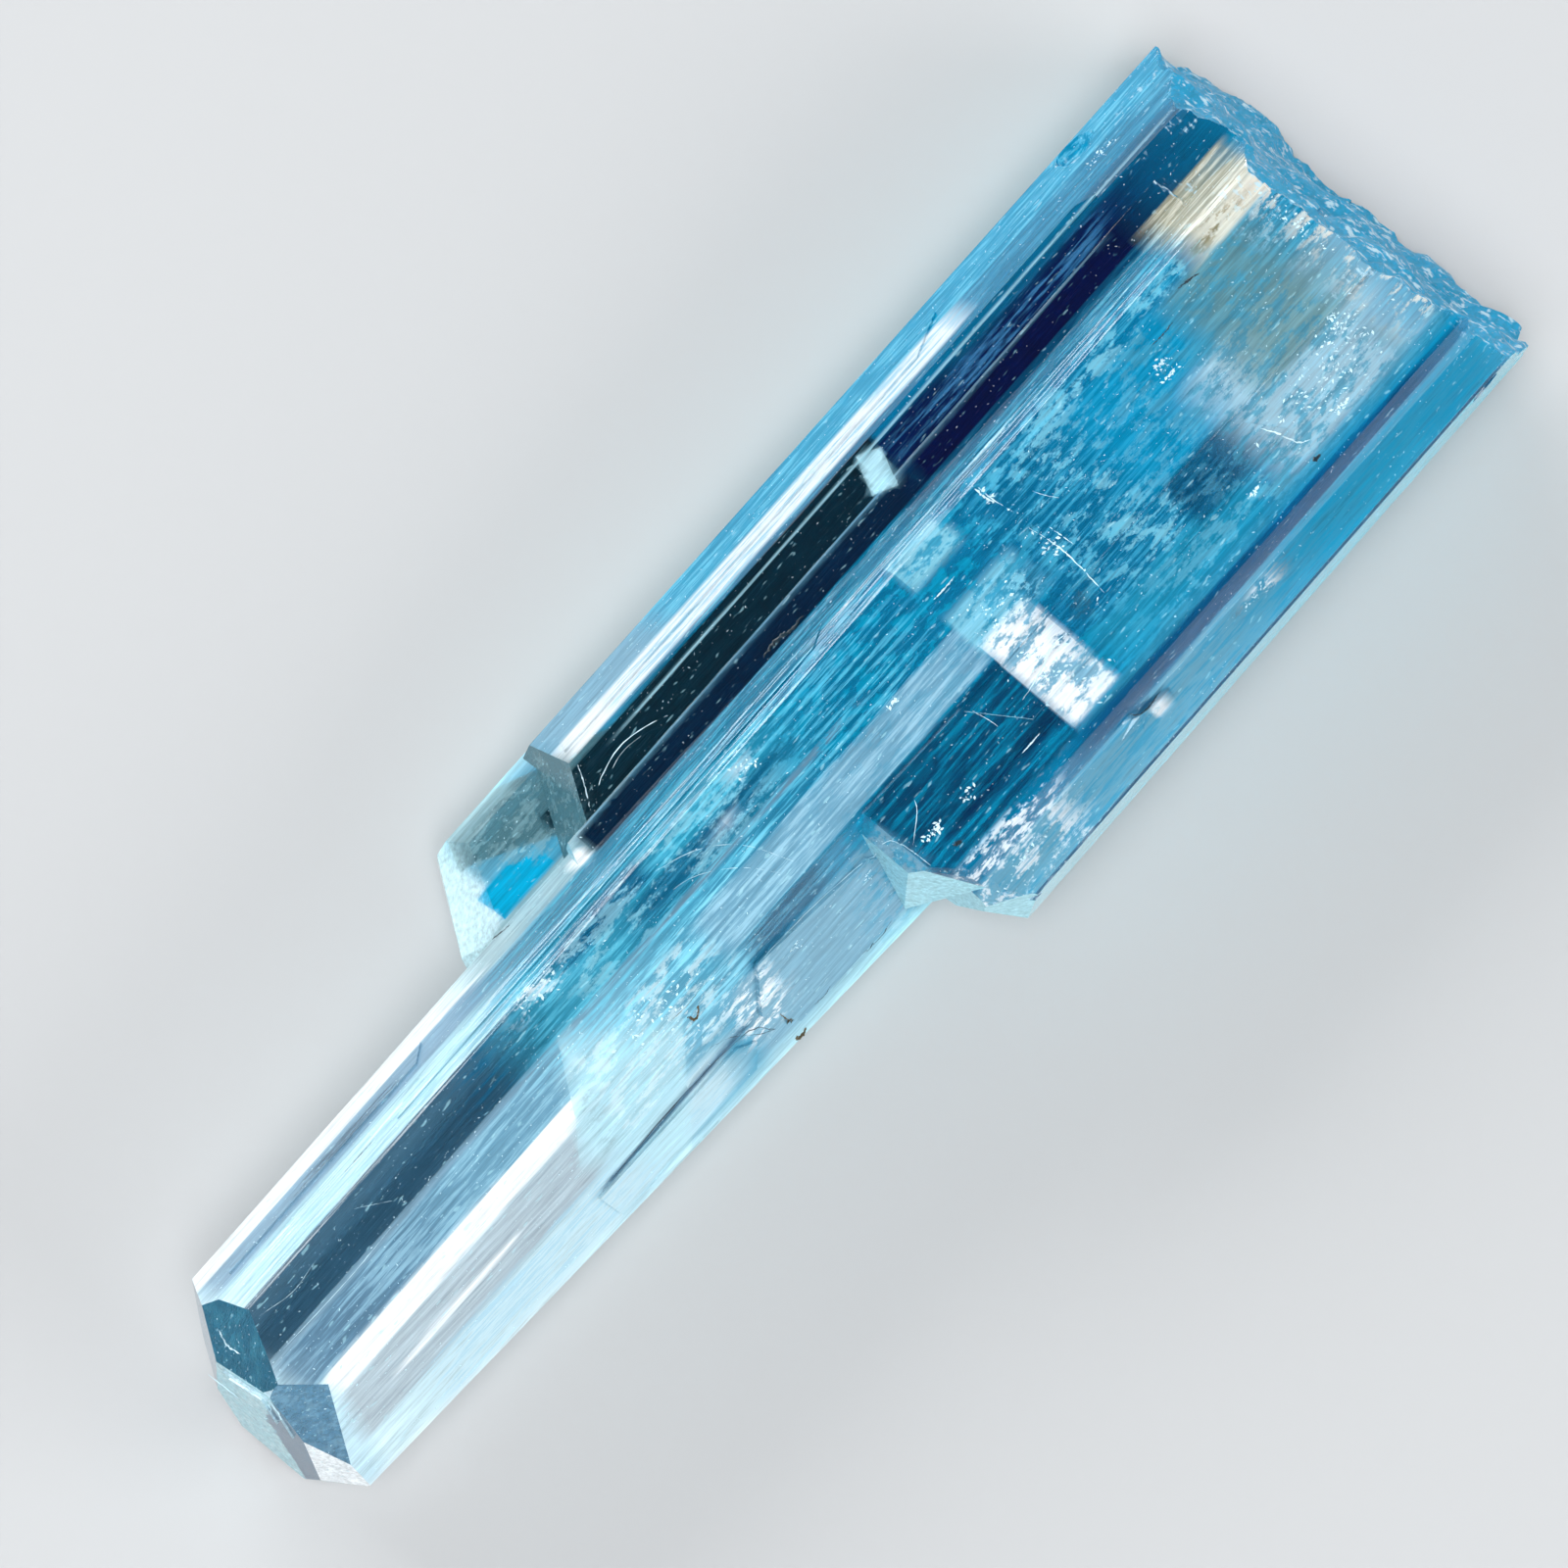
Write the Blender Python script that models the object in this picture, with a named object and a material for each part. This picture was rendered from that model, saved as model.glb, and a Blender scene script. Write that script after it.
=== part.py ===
"""Aquamarine crystal: beryl prisms grown side by side in one piece, lying on its back.

A long main prism ends in a clear facetted tip. A left prism, a right prism and an
overgrowth lie against its thicker end, all with the same crystal axis, which is X here.
All of them end at one rough fracture, where the cluster broke from its rock. Thin plates
of later growth stand a little proud of the faces. Everything is one intergrown solid.

Angles psi go round the crystal axis, from +Y (the left side) towards +Z (the front).
Blender units are metres, and the sizes below are millimetres, turned to metres by MM.
"""

import math

import bmesh
import bpy
from mathutils import Matrix, Vector, noise

MM = 0.001

# ---- driving dimensions, in millimetres -------------------------------------------------
HEIGHT = 9.8  # bottom face to front face of the main prism
TIP_X = -36.0  # basal face of the main tip
FRONT_HALF = 2.13  # half width of the main prism's front face at the tip
BREAK_X = 34.4  # where the fracture meets the bottom face
BREAK_SLOPE = 0.466  # how far the fracture leans back for each millimetre of height
BREAK_JOG = 0.5  # how far the right prism reaches past the rest of the fracture
HACKLE_STEP = 0.22  # height of one step on the fracture
HACKLE_WAVE = 0.16  # height of the slow waves under the steps
CHIP_WAVE = 0.18  # height of the small chips on the fracture
OVERGROWTH_STEP = 0.22  # the overgrowth's front face is this far under the main one's
RIGHT_STEP = 1.43  # the right prism's front face, under the main one's
LEFT_HEIGHT = 7.18  # front face of the left prism over the bottom face, at x = 0
LEFT_GROWTH = 0.033  # how fast that face rises towards the fracture
LEFT_SIDE_Y = 9.50  # outermost edge of the left prism
RIGHT_SIDE_Y = -10.43  # outer side of the right prism

PRISM = 90.0  # tilt of a prism face from the basal face, degrees
PYRAMID_P = 35.0  # the flatter pyramid
PYRAMID_S = 48.0  # the steeper pyramid, on the prism's edges
BLOCK = 120.0  # side of the block that each prism is cut from
TERRACE_TURN = -30.0  # degrees that the growth terraces are turned about the crystal axis
MERGE = 1e-7  # metres; cut corners nearer than this are one corner


def outward(psi, tilt):
    """Unit normal of a face at angle psi that leans tilt degrees from the basal face."""
    turn, lean = math.radians(psi), math.radians(tilt)
    return Vector((-math.cos(lean), math.sin(lean) * math.cos(turn), math.sin(lean) * math.sin(turn)))


def cut(bm, point, normal):
    """Cuts away what lies outside the plane, and closes the cut with one flat face."""
    everything = bm.verts[:] + bm.edges[:] + bm.faces[:]
    done = bmesh.ops.bisect_plane(
        bm, geom=everything, dist=MERGE, plane_co=Vector(point) * MM, plane_no=normal, clear_outer=True
    )
    rim = [part for part in done["geom_cut"] if isinstance(part, bmesh.types.BMEdge)]
    if rim:
        bmesh.ops.edgeloop_fill(bm, edges=rim)
    bmesh.ops.remove_doubles(bm, verts=bm.verts[:], dist=MERGE)


def finish_mesh(name, bm, collection):
    """Makes the bmesh an object in that collection, with its faces pointing out."""
    bmesh.ops.recalc_face_normals(bm, faces=bm.faces[:])
    mesh = bpy.data.meshes.new(name)
    bm.to_mesh(mesh)
    bm.free()
    obj = bpy.data.objects.new(name, mesh)
    collection.objects.link(obj)
    return obj


def prism(name, sides, facets, far_x, collection):
    """A crystal cut from a block, as a lapidary would.

    sides: (psi, y, z, growth), a face along X through (y, z) at x = 0 that moves out by
    growth millimetres for each millimetre towards the fracture
    facets: (psi, tilt, x, y, z), a plane through that point
    """
    bm = bmesh.new()
    bmesh.ops.create_cube(bm, size=BLOCK * MM)
    for psi, y, z, growth in sides:
        normal = outward(psi, PRISM) + Vector((-growth, 0.0, 0.0))
        cut(bm, (0.0, y, z), normal.normalized())
    for psi, tilt, x, y, z in facets:
        cut(bm, (x, y, z), outward(psi, tilt))
    cut(bm, (far_x, 0.0, 0.0), Vector((1.0, 0.0, 0.0)))
    return finish_mesh(name, bm, collection)


def main_prism(far_x, collection):
    """The long prism. Its right side leans out towards the fracture."""
    lean = 1.2  # degrees that each half of the front face falls away from its ridge
    left_z, right_z = 5.83, 3.50  # heights of the outermost edges at the tip
    sides = [
        (90.0 - lean, 0.0, HEIGHT, 0.0),
        (90.0 + lean, 0.0, HEIGHT, 0.0),
        (52.0, 2.30, 9.8, 0.004),
        (30.0, 5.12, left_z, 0.0),
        (330.0, 5.40, left_z, 0.008),
        (270.0, 0.0, 0.0, 0.0),
        (210.0, -7.30, right_z, 0.048),
        (150.0, -3.03, 9.8, 0.0218),
    ]
    facets = [
        (0.0, 0.0, TIP_X, 0.0, 0.0),
        (60.0, PYRAMID_S, TIP_X + 2.08, FRONT_HALF, HEIGHT),
        (140.0, PYRAMID_S + 2.0, TIP_X + 1.80, -FRONT_HALF, HEIGHT),
        (-5.0, PYRAMID_P, TIP_X + 2.31, 5.12, left_z),
        (200.0, PYRAMID_P, TIP_X + 1.18, -5.77, right_z),
        (162.0, PYRAMID_P - 6.0, TIP_X + 0.69, -4.17, 6.27),
        (90.0, PYRAMID_P - 4.0, TIP_X + 0.42, 0.0, HEIGHT),
        (270.0, PYRAMID_P, TIP_X + 0.85, 0.0, 0.0),
        (300.0, PYRAMID_S, TIP_X + 1.7, 1.8, 0.0),
        (330.0, PYRAMID_P, TIP_X + 1.5, 3.6, 2.9),
        (240.0, PYRAMID_S, TIP_X + 1.5, -3.6, 0.0),
    ]
    return prism("main_prism", sides, facets, far_x, collection)


def left_prism(far_x, collection):
    """The lower prism on the left. One large slanting facet ends it."""
    edge_y = 7.31
    sides = [
        (90.0, edge_y, LEFT_HEIGHT, LEFT_GROWTH),
        (38.0, edge_y, LEFT_HEIGHT, 0.0),
        (-6.0, LEFT_SIDE_Y, 4.0, 0.0),
        (330.0, LEFT_SIDE_Y, 2.2, 0.0),
        (270.0, edge_y, 0.0, 0.0),
        (210.0, 2.6, 0.0, 0.0),
        (150.0, 2.0, LEFT_HEIGHT, 0.0),
    ]
    facets = [
        (34.0, PYRAMID_P + 3.0, -7.7, edge_y, 7.0),
        (330.0, PYRAMID_P, -9.0, LEFT_SIDE_Y, 2.2),
        (290.0, PYRAMID_S, -8.6, 7.7, 0.0),
    ]
    return prism("left_prism", sides, facets, far_x, collection)


def left_toe(far_x, collection):
    """The older, thinner growth that the left prism stands on. Its tip reaches further."""
    front_z = 4.3
    sides = [
        (90.0, 8.0, front_z, 0.0),
        (45.0, 8.7, front_z, 0.0),
        (-6.0, LEFT_SIDE_Y + 0.02, 3.0, 0.0),
        (330.0, LEFT_SIDE_Y, 2.0, 0.0),
        (270.0, 0.0, 0.15, 0.0),
        (210.0, 2.7, 0.2, 0.0),
        (150.0, 2.1, front_z, 0.0),
    ]
    facets = [
        (-5.0, PYRAMID_P + 1.0, -13.1, LEFT_SIDE_Y, 3.0),
        (60.0, PYRAMID_S, -12.2, 8.7, front_z),
        (90.0, PYRAMID_P, -14.2, 6.5, front_z),
        (310.0, PYRAMID_S, -12.4, 7.9, 0.15),
        (0.0, 0.0, -16.3, 0.0, 0.0),
    ]
    return prism("left_toe", sides, facets, far_x, collection)


def right_prism(far_x, collection):
    """The prism on the right, with an upright outer side and a blunt end."""
    front = HEIGHT - RIGHT_STEP
    sides = [
        (90.0, 0.0, front, 0.0),
        (150.0, RIGHT_SIDE_Y + 0.12, front, 0.0),
        (180.0, RIGHT_SIDE_Y, 5.0, 0.0),
        (210.0, RIGHT_SIDE_Y, 4.1, 0.0),
        (270.0, 0.0, 1.9, 0.0),
        (330.0, -3.4, 3.5, 0.0),
        (30.0, -3.6, 7.0, 0.0),
    ]
    facets = [
        (0.0, 0.0, -1.0, 0.0, 0.0),
        (180.0, PYRAMID_S, 0.5, RIGHT_SIDE_Y, 6.0),
        (140.0, PYRAMID_P, 0.3, RIGHT_SIDE_Y, front),
        (95.0, PYRAMID_P, -0.3, -9.0, front),
        (210.0, PYRAMID_P, 0.6, RIGHT_SIDE_Y, 4.1),
        (250.0, PYRAMID_S, 1.9, -9.0, 1.9),
    ]
    return prism("right_prism", sides, facets, far_x, collection)


def overgrowth(far_x, collection):
    """The younger prism laid over the main one's right shoulder."""
    front = HEIGHT - OVERGROWTH_STEP
    sides = [
        (90.0, 0.0, front, 0.001),
        (150.0, -7.82, front, 0.008),
        (210.0, -8.55, 7.9, 0.0),
        (270.0, 0.0, 4.0, 0.0),
        (330.0, -0.6, 5.6, 0.0),
        (30.0, -0.6, 8.6, 0.0),
    ]
    facets = [
        (0.0, 0.0, -2.5, 0.0, 0.0),
        (135.0, PYRAMID_S, -0.9, -7.82, front),
        (60.0, PYRAMID_S, -1.7, -2.4, front),
        (90.0, PYRAMID_P, -2.0, 0.0, front),
        (175.0, PYRAMID_P, -0.9, -8.3, 8.4),
    ]
    return prism("overgrowth", sides, facets, far_x, collection)


def extruded_outline(name, points, thickness):
    """A flat outline in its own XY plane, thickened evenly on both sides, as a mesh."""
    curve = bpy.data.curves.new(name, "CURVE")
    curve.dimensions = "2D"
    curve.fill_mode = "BOTH"
    curve.extrude = thickness * MM / 2
    spline = curve.splines.new("POLY")
    spline.points.add(len(points) - 1)
    for point, (along, across) in zip(spline.points, points):
        point.co = (along * MM, across * MM, 0.0, 1.0)
    spline.use_cyclic_u = True
    flat = bpy.data.objects.new(name, curve)
    bpy.context.scene.collection.objects.link(flat)
    bpy.context.view_layer.update()
    graph = bpy.context.evaluated_depsgraph_get()
    mesh = bpy.data.meshes.new_from_object(flat.evaluated_get(graph))
    bpy.data.objects.remove(flat)
    bpy.data.curves.remove(curve)
    return mesh


# Plates of later growth. Each lies on the face at angle psi through (y, z) at x = 0, which
# moves out by growth for each millimetre along X. Then comes its outline, in (x, distance
# down that face from the point), and how far it stands proud.
PLATES = {
    "right_plate": (
        150.0, -3.03, 9.8, 0.0218,
        [(-9.4, 1.55), (-2.9, 2.25), (-2.2, 3.0), (-2.0, 6.4), (-8.9, 6.4), (-10.3, 4.2)],
        0.24,
    ),
    "right_lath": (
        150.0, -3.03, 9.8, 0.0218,
        [(-20.3, 4.55), (-11.9, 4.55), (-11.0, 5.2), (-11.6, 6.5), (-19.8, 6.5)],
        0.16,
    ),
    "left_strip": (
        90.0, 5.38, LEFT_HEIGHT, LEFT_GROWTH,
        [(-10.2, 0.0), (27.0, 0.0), (27.0, -2.4), (-11.3, -2.4)],
        0.16,
    ),
    "left_rail": (
        90.0, 7.16, LEFT_HEIGHT, LEFT_GROWTH,
        [(-3.5, 0.0), (24.0, 0.0), (25.0, -0.34), (-4.0, -0.34)],
        0.10,
    ),
    "bevel_lath": (
        52.0, 2.30, 9.8, 0.004,
        [(-24.0, 0.75), (2.0, 0.75), (3.0, 1.25), (-23.0, 1.25)],
        0.07,
    ),
    "flank_lath": (
        30.0, 3.98, 7.80, 0.0,
        [(-33.0, -0.3), (-21.5, -0.3), (-20.5, 0.8), (-32.0, 0.8)],
        0.10,
    ),
    "left_side_plate": (
        38.0, 8.0, 6.30, 0.0,
        [(-7.2, 0.0), (15.2, 0.0), (17.5, 1.3), (-6.6, 1.5)],
        0.10,
    ),
    "shoulder_plate": (
        90.0, -3.4, HEIGHT - OVERGROWTH_STEP, 0.001,
        [(4.0, 0.0), (20.5, 0.0), (22.0, -2.3), (5.6, -2.3)],
        0.07,
    ),
    "under_plate": (
        210.0, -6.20, 1.6, 0.048,
        [(-26.0, -0.9), (-12.0, -0.6), (-9.5, 1.1), (-24.0, 1.2)],
        0.20,
    ),
    "under_left_plate": (
        330.0, 8.60, 0.64, 0.0,
        [(-4.0, -1.3), (18.0, -1.3), (20.0, 0.3), (-2.0, 0.3)],
        0.16,
    ),
    "under_flank_plate": (
        330.0, 4.11, 3.60, 0.008,
        [(-31.0, -1.1), (-19.0, -1.1), (-17.4, 1.5), (-29.4, 1.5)],
        0.20,
    ),
}
PLATE_ROOT = 0.9  # how far a plate goes down into the crystal, in millimetres


def plate(name, psi, y, z, growth, outline, rise, collection):
    """A low plate with straight growth edges, lying on a prism face."""
    thickness = rise + PLATE_ROOT
    mesh = extruded_outline(name, outline, thickness)
    normal = (outward(psi, PRISM) + Vector((-growth, 0.0, 0.0))).normalized()
    across = Vector((0.0, math.sin(math.radians(psi)), -math.cos(math.radians(psi))))
    down = across if across.z <= 0.0 else -across
    along = down.cross(normal)
    middle = Vector((0.0, y, z)) + normal * (rise - thickness / 2)
    turn = Matrix((along * math.copysign(1.0, along.x), down, normal)).transposed().to_4x4()
    mesh.transform(Matrix.Translation(middle * MM) @ turn)
    bm = bmesh.new()
    bm.from_mesh(mesh)
    bmesh.ops.remove_doubles(bm, verts=bm.verts[:], dist=MERGE)
    bpy.data.meshes.remove(mesh)
    return finish_mesh(name, bm, collection)


# Growth terraces on the basal face of the tip: centre y, centre z, width, height, rise.
TERRACES = [
    (-0.35, 6.9, 2.7, 2.9, 0.10),
    (-0.15, 7.3, 1.9, 1.9, 0.20),
]


def terrace(name, y, z, width, height, rise, collection):
    """A low block on the basal face, turned with the prism's sides."""
    buried = 0.6
    bm = bmesh.new()
    bmesh.ops.create_cube(bm, size=1.0)
    size = Matrix.Diagonal(Vector(((rise + buried) * MM, width * MM, height * MM, 1.0)))
    turn = Matrix.Rotation(math.radians(TERRACE_TURN), 4, "X")
    place = Matrix.Translation(Vector((TIP_X - rise + (rise + buried) / 2, y, z)) * MM)
    bmesh.ops.transform(bm, matrix=place @ turn @ size, verts=bm.verts[:])
    return finish_mesh(name, bm, collection)


# Chips and etch pits: centre x, y, z, radius, and how far each is stretched along X.
PITS = [
    (-10.4, -6.9, 4.1, 0.50, 2.2),
    (-0.9, -9.3, 8.75, 0.75, 1.2),
    (0.2, -10.7, 7.6, 0.60, 1.6),
    (8.6, -8.9, 8.75, 0.55, 2.4),
    (26.9, 9.3, 5.0, 0.85, 1.5),
    (29.4, -10.5, 7.6, 0.70, 1.4),
    (12.0, 1.4, -0.35, 0.60, 3.0),
    (-21.0, 3.3, 2.1, 0.50, 3.4),
    (-27.5, -3.9, 0.1, 0.45, 3.0),
]


def pit(name, x, y, z, radius, stretch, collection):
    """A facetted lump that is cut out of the surface it crosses. Each is turned about X by
    its own place, one radian a millimetre, so that no two look the same."""
    bm = bmesh.new()
    bmesh.ops.create_icosphere(bm, subdivisions=1, radius=radius * MM)
    size = Matrix.Diagonal(Vector((stretch, 1.0, 1.0, 1.0)))
    turn = Matrix.Rotation(x, 4, "X")
    place = Matrix.Translation(Vector((x, y, z)) * MM)
    bmesh.ops.transform(bm, matrix=place @ size @ turn, verts=bm.verts[:])
    return finish_mesh(name, bm, collection)


def fracture_x(y, z):
    """Where the fracture is along X at (y, z): a leaning plane with hackles along Y. It jogs
    forward on the right prism, and its steps are noise rounded to whole numbers."""
    jog_start, jog_width = -7.5, 1.5  # across Y
    steps = 3.0  # between the noise's middle and its top
    plane = BREAK_X - BREAK_SLOPE * z
    jog = BREAK_JOG * min(1.0, max(0.0, (jog_start - y) / jog_width))
    hackle = noise.noise(Vector((y * 0.20, z * 0.85, 1.7)))
    chip = noise.noise(Vector((y * 0.70, z * 1.4, 8.3)))
    relief = HACKLE_STEP * round(hackle * steps) + HACKLE_WAVE * hackle + CHIP_WAVE * chip
    return plane + jog + relief


def fracture_cutter(collection):
    """A block whose near side is the fracture. It takes off all that lies beyond."""
    columns, rows = 54, 26
    width, height = 24.0, 12.0  # more than the cluster's own, in Y and Z
    bm = bmesh.new()
    bmesh.ops.create_grid(bm, x_segments=columns, y_segments=rows, size=0.5)
    for vert in bm.verts:
        y = vert.co.x * width
        z = vert.co.y * height + HEIGHT / 2
        vert.co = Vector((fracture_x(y, z), y, z)) * MM
    beyond = bmesh.ops.extrude_face_region(bm, geom=bm.faces[:])
    for vert in (part for part in beyond["geom"] if isinstance(part, bmesh.types.BMVert)):
        vert.co.x = BLOCK * MM
    return finish_mesh("fracture_cutter", bm, collection)


def boolean(target, operand, operation):
    """Adds an exact Boolean, and makes its operand a hidden helper."""
    step = target.modifiers.new(f"{operation}_{operand.name}", "BOOLEAN")
    step.operation = operation
    step.solver = "EXACT"
    step.object = operand
    operand.hide_render = True
    operand.display_type = "WIRE"


def crystal_material():
    """Clear sea-blue beryl."""
    material = bpy.data.materials.new("aquamarine")
    material.use_nodes = True
    shader = material.node_tree.nodes["Principled BSDF"]
    shader.inputs["Base Color"].default_value = (0.22, 0.68, 0.84, 1.0)
    shader.inputs["Roughness"].default_value = 0.06
    shader.inputs["Metallic"].default_value = 0.0
    shader.inputs["IOR"].default_value = 1.577
    shader.inputs["Transmission Weight"].default_value = 1.0
    return material


def settle(cluster):
    """Moves the finished mesh so that its bottom face is on Z = 0, centred on the origin."""
    xs, ys, zs = zip(*(vert.co for vert in cluster.vertices))
    middle = Vector(((min(xs) + max(xs)) / 2, (min(ys) + max(ys)) / 2, min(zs)))
    cluster.transform(Matrix.Translation(-middle))


def main():
    for old in list(bpy.data.objects):
        bpy.data.objects.remove(old)
    crystal = bpy.data.collections.new("aquamarine_crystal")
    helpers = bpy.data.collections.new("helpers")
    for collection in (crystal, helpers):
        bpy.context.scene.collection.children.link(collection)

    body = main_prism(BREAK_X + 4.0, helpers)
    grown_on = [
        left_prism(BREAK_X + 5.0, helpers),
        left_toe(BREAK_X - 20.0, helpers),
        right_prism(BREAK_X + 6.0, helpers),
        overgrowth(BREAK_X + 7.0, helpers),
    ]
    grown_on += [plate(name, *row, helpers) for name, row in PLATES.items()]
    grown_on += [terrace(f"terrace_{n}", *row, helpers) for n, row in enumerate(TERRACES)]
    for operand in grown_on:
        boolean(body, operand, "UNION")
    for n, row in enumerate(PITS):
        boolean(body, pit(f"pit_{n}", *row, helpers), "DIFFERENCE")
    boolean(body, fracture_cutter(helpers), "DIFFERENCE")
    body.hide_render = True
    body.display_type = "WIRE"

    bpy.context.view_layer.update()
    graph = bpy.context.evaluated_depsgraph_get()
    cluster = bpy.data.meshes.new_from_object(body.evaluated_get(graph))
    settle(cluster)
    cluster.materials.clear()
    cluster.materials.append(crystal_material())
    node = bpy.data.objects.new("aquamarine_crystal", cluster)
    crystal.objects.link(node)


main()
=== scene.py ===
"""Finish of the aquamarine crystal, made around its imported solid, which lies on its back.

The crystal axis is X, with the facetted tip at -X and the fracture at +X. The broad front
faces look up, along Z. The left prism is at +Y, and the right one at -Y. The tables give
places in millimetres. Everything else is in metres, where MM turns millimetres into them.
"""

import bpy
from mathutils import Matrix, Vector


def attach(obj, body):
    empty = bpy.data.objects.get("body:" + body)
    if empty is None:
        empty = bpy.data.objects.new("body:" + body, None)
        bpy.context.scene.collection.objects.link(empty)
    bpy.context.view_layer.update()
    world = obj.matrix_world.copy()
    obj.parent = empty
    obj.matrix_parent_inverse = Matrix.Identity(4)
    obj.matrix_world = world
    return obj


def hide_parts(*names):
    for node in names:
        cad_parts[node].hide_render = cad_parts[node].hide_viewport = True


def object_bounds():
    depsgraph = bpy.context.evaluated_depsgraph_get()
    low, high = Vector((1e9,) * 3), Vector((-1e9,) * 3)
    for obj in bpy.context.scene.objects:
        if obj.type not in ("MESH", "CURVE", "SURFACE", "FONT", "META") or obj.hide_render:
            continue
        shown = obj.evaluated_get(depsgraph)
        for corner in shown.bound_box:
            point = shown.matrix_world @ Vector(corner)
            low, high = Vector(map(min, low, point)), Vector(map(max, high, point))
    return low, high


bl_info = {
    "name": "Aquamarine crystal",
    "version": (1, 0, 0),
    "blender": (4, 5, 0),
    "location": "3D View > Sidebar > Aquamarine",
    "description": "Striated beryl cluster with its colour zones, inclusions and studio",
    "category": "Add Mesh",
}

import math
from typing import NamedTuple

import bmesh
import bpy
import numpy as np
from bpy.props import FloatProperty, FloatVectorProperty, IntProperty, PointerProperty
from mathutils import Matrix, Vector
from mathutils.bvhtree import BVHTree

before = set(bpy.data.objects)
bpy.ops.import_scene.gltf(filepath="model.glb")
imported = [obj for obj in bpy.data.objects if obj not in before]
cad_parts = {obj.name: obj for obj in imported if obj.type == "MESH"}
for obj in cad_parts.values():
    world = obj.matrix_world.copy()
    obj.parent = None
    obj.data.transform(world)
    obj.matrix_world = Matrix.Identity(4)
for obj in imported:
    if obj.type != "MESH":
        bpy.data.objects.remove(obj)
CAD_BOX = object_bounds()

MM = 0.001
NODE = "aquamarine_crystal"
BODY = "root"
BOTTOM, TOP = (corner.z for corner in CAD_BOX)
TIP_X, BREAK_X = (corner.x for corner in CAD_BOX)
WELD = 1e-7  # corners nearer than this are one
TINY = 1e-9  # keeps a length that is divided by above nothing


# ---- what a user would change -----------------------------------------------------------
class CrystalSettings(bpy.types.PropertyGroup):
    """Relief and colour of the beryl."""

    stria_gap: FloatProperty(
        name="Striation spacing", description="Mean distance between growth lines on a face",
        default=0.24 * MM, min=0.05 * MM, unit="LENGTH",
    )
    stria_depth: FloatProperty(
        name="Striation depth", description="Greatest height of a growth line over its face",
        default=0.012 * MM, min=0.0, unit="LENGTH",
    )
    segment: FloatProperty(
        name="Striation segment", description="Mean length after which a growth line changes",
        default=1.2 * MM, min=0.2 * MM, unit="LENGTH",
    )
    break_relief: FloatProperty(
        name="Fracture relief", description="Height of the fine steps on the fracture",
        default=0.20 * MM, min=0.0, unit="LENGTH",
    )
    # The three tints along the crystal: partly its own colour zoning, partly painted light that
    # makes the tip paler.
    tip_tint: FloatVectorProperty(
        name="Tip colour", description="Colour of the beryl at the facetted tip",
        default=(0.97, 0.99, 1.0), subtype="COLOR", min=0.0, max=1.0,
    )
    middle_tint: FloatVectorProperty(
        name="Middle colour", description="Colour of the beryl half way along",
        default=(0.50, 0.88, 0.96), subtype="COLOR", min=0.0, max=1.0,
    )
    root_tint: FloatVectorProperty(
        name="Fracture-end colour", description="Colour of the beryl near the fracture",
        default=(0.10, 0.74, 0.92), subtype="COLOR", min=0.0, max=1.0,
    )
    break_tint: FloatVectorProperty(
        name="Fracture colour", description="Colour of the frosted fracture",
        default=(0.0, 0.42, 0.72), subtype="COLOR", min=0.0, max=1.0,
    )
    facet_mist: FloatProperty(
        name="Facet mist", description="Cover of the paler clouds on the end facets",
        default=0.45, min=0.0, max=1.0,
    )
    mist_power: FloatProperty(
        name="Mist tone", description="Power that turns a facet's colour to its clouds' colour",
        default=0.6, min=0.1, max=1.0,
    )


class StudioSettings(bpy.types.PropertyGroup):
    """Floor, lights and camera."""

    floor_colour: FloatVectorProperty(
        name="Floor colour", description="Colour of the plain floor",
        default=(0.50, 0.51, 0.52), subtype="COLOR", min=0.0, max=1.0,
    )
    top_power: FloatProperty(
        name="Top light", description="Power of the softbox over the tip",
        default=3.9, min=0.0, unit="POWER",
    )
    key_power: FloatProperty(
        name="Key light", description="Power of the softbox on the left prism's side",
        default=2.9, min=0.0, unit="POWER",
    )
    fill_power: FloatProperty(
        name="Fill light", description="Power of the softbox on the right prism's side",
        default=1.9, min=0.0, unit="POWER",
    )
    sky: FloatProperty(
        name="Room light", description="Strength of the even light from all round",
        default=0.6, min=0.0,
    )
    lens: FloatProperty(
        name="Lens", description="Focal length of the camera, on a 36 mm sensor",
        default=300.0, min=20.0, unit="CAMERA",
    )


class AquamarineSettings(bpy.types.PropertyGroup):
    """All of the settings in the sidebar."""

    crystal: PointerProperty(type=CrystalSettings)
    studio: PointerProperty(type=StudioSettings)


# ---- mesh helpers -----------------------------------------------------------------------
def settle_piece(obj):
    """Makes the piece ride with the crystal."""
    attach(obj, BODY)
    return obj


def smooth_noise(table, at):
    """Random values read from a table at any place: straight lines between its entries."""
    at = np.mod(at, len(table) - 1)
    low = at.astype(int)
    share = at - low
    return table[low] * (1.0 - share) + table[low + 1] * share


def lattice_noise(table, u, v):
    """Random values read from a square table at any place: bilinear between its entries."""
    row, column = u.astype(int), v.astype(int)
    p, q = u - row, v - column
    return (
        table[row, column] * (1 - p) * (1 - q) + table[row + 1, column] * p * (1 - q)
        + table[row, column + 1] * (1 - p) * q + table[row + 1, column + 1] * p * q
    )


def unit_rows(vectors):
    """Each row at length one."""
    return vectors / np.maximum(np.linalg.norm(vectors, axis=1), TINY)[:, None]


def uneven_cuts(low, high, gap, rng):
    """Places from low to high that lie the least to the most of gap apart."""
    least, most, spare = 0.5, 1.6, 1.3
    steps = rng.uniform(least, most, int((high - low) / gap * spare)) * gap
    places = low + np.cumsum(steps)
    return places[places < high]


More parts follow.
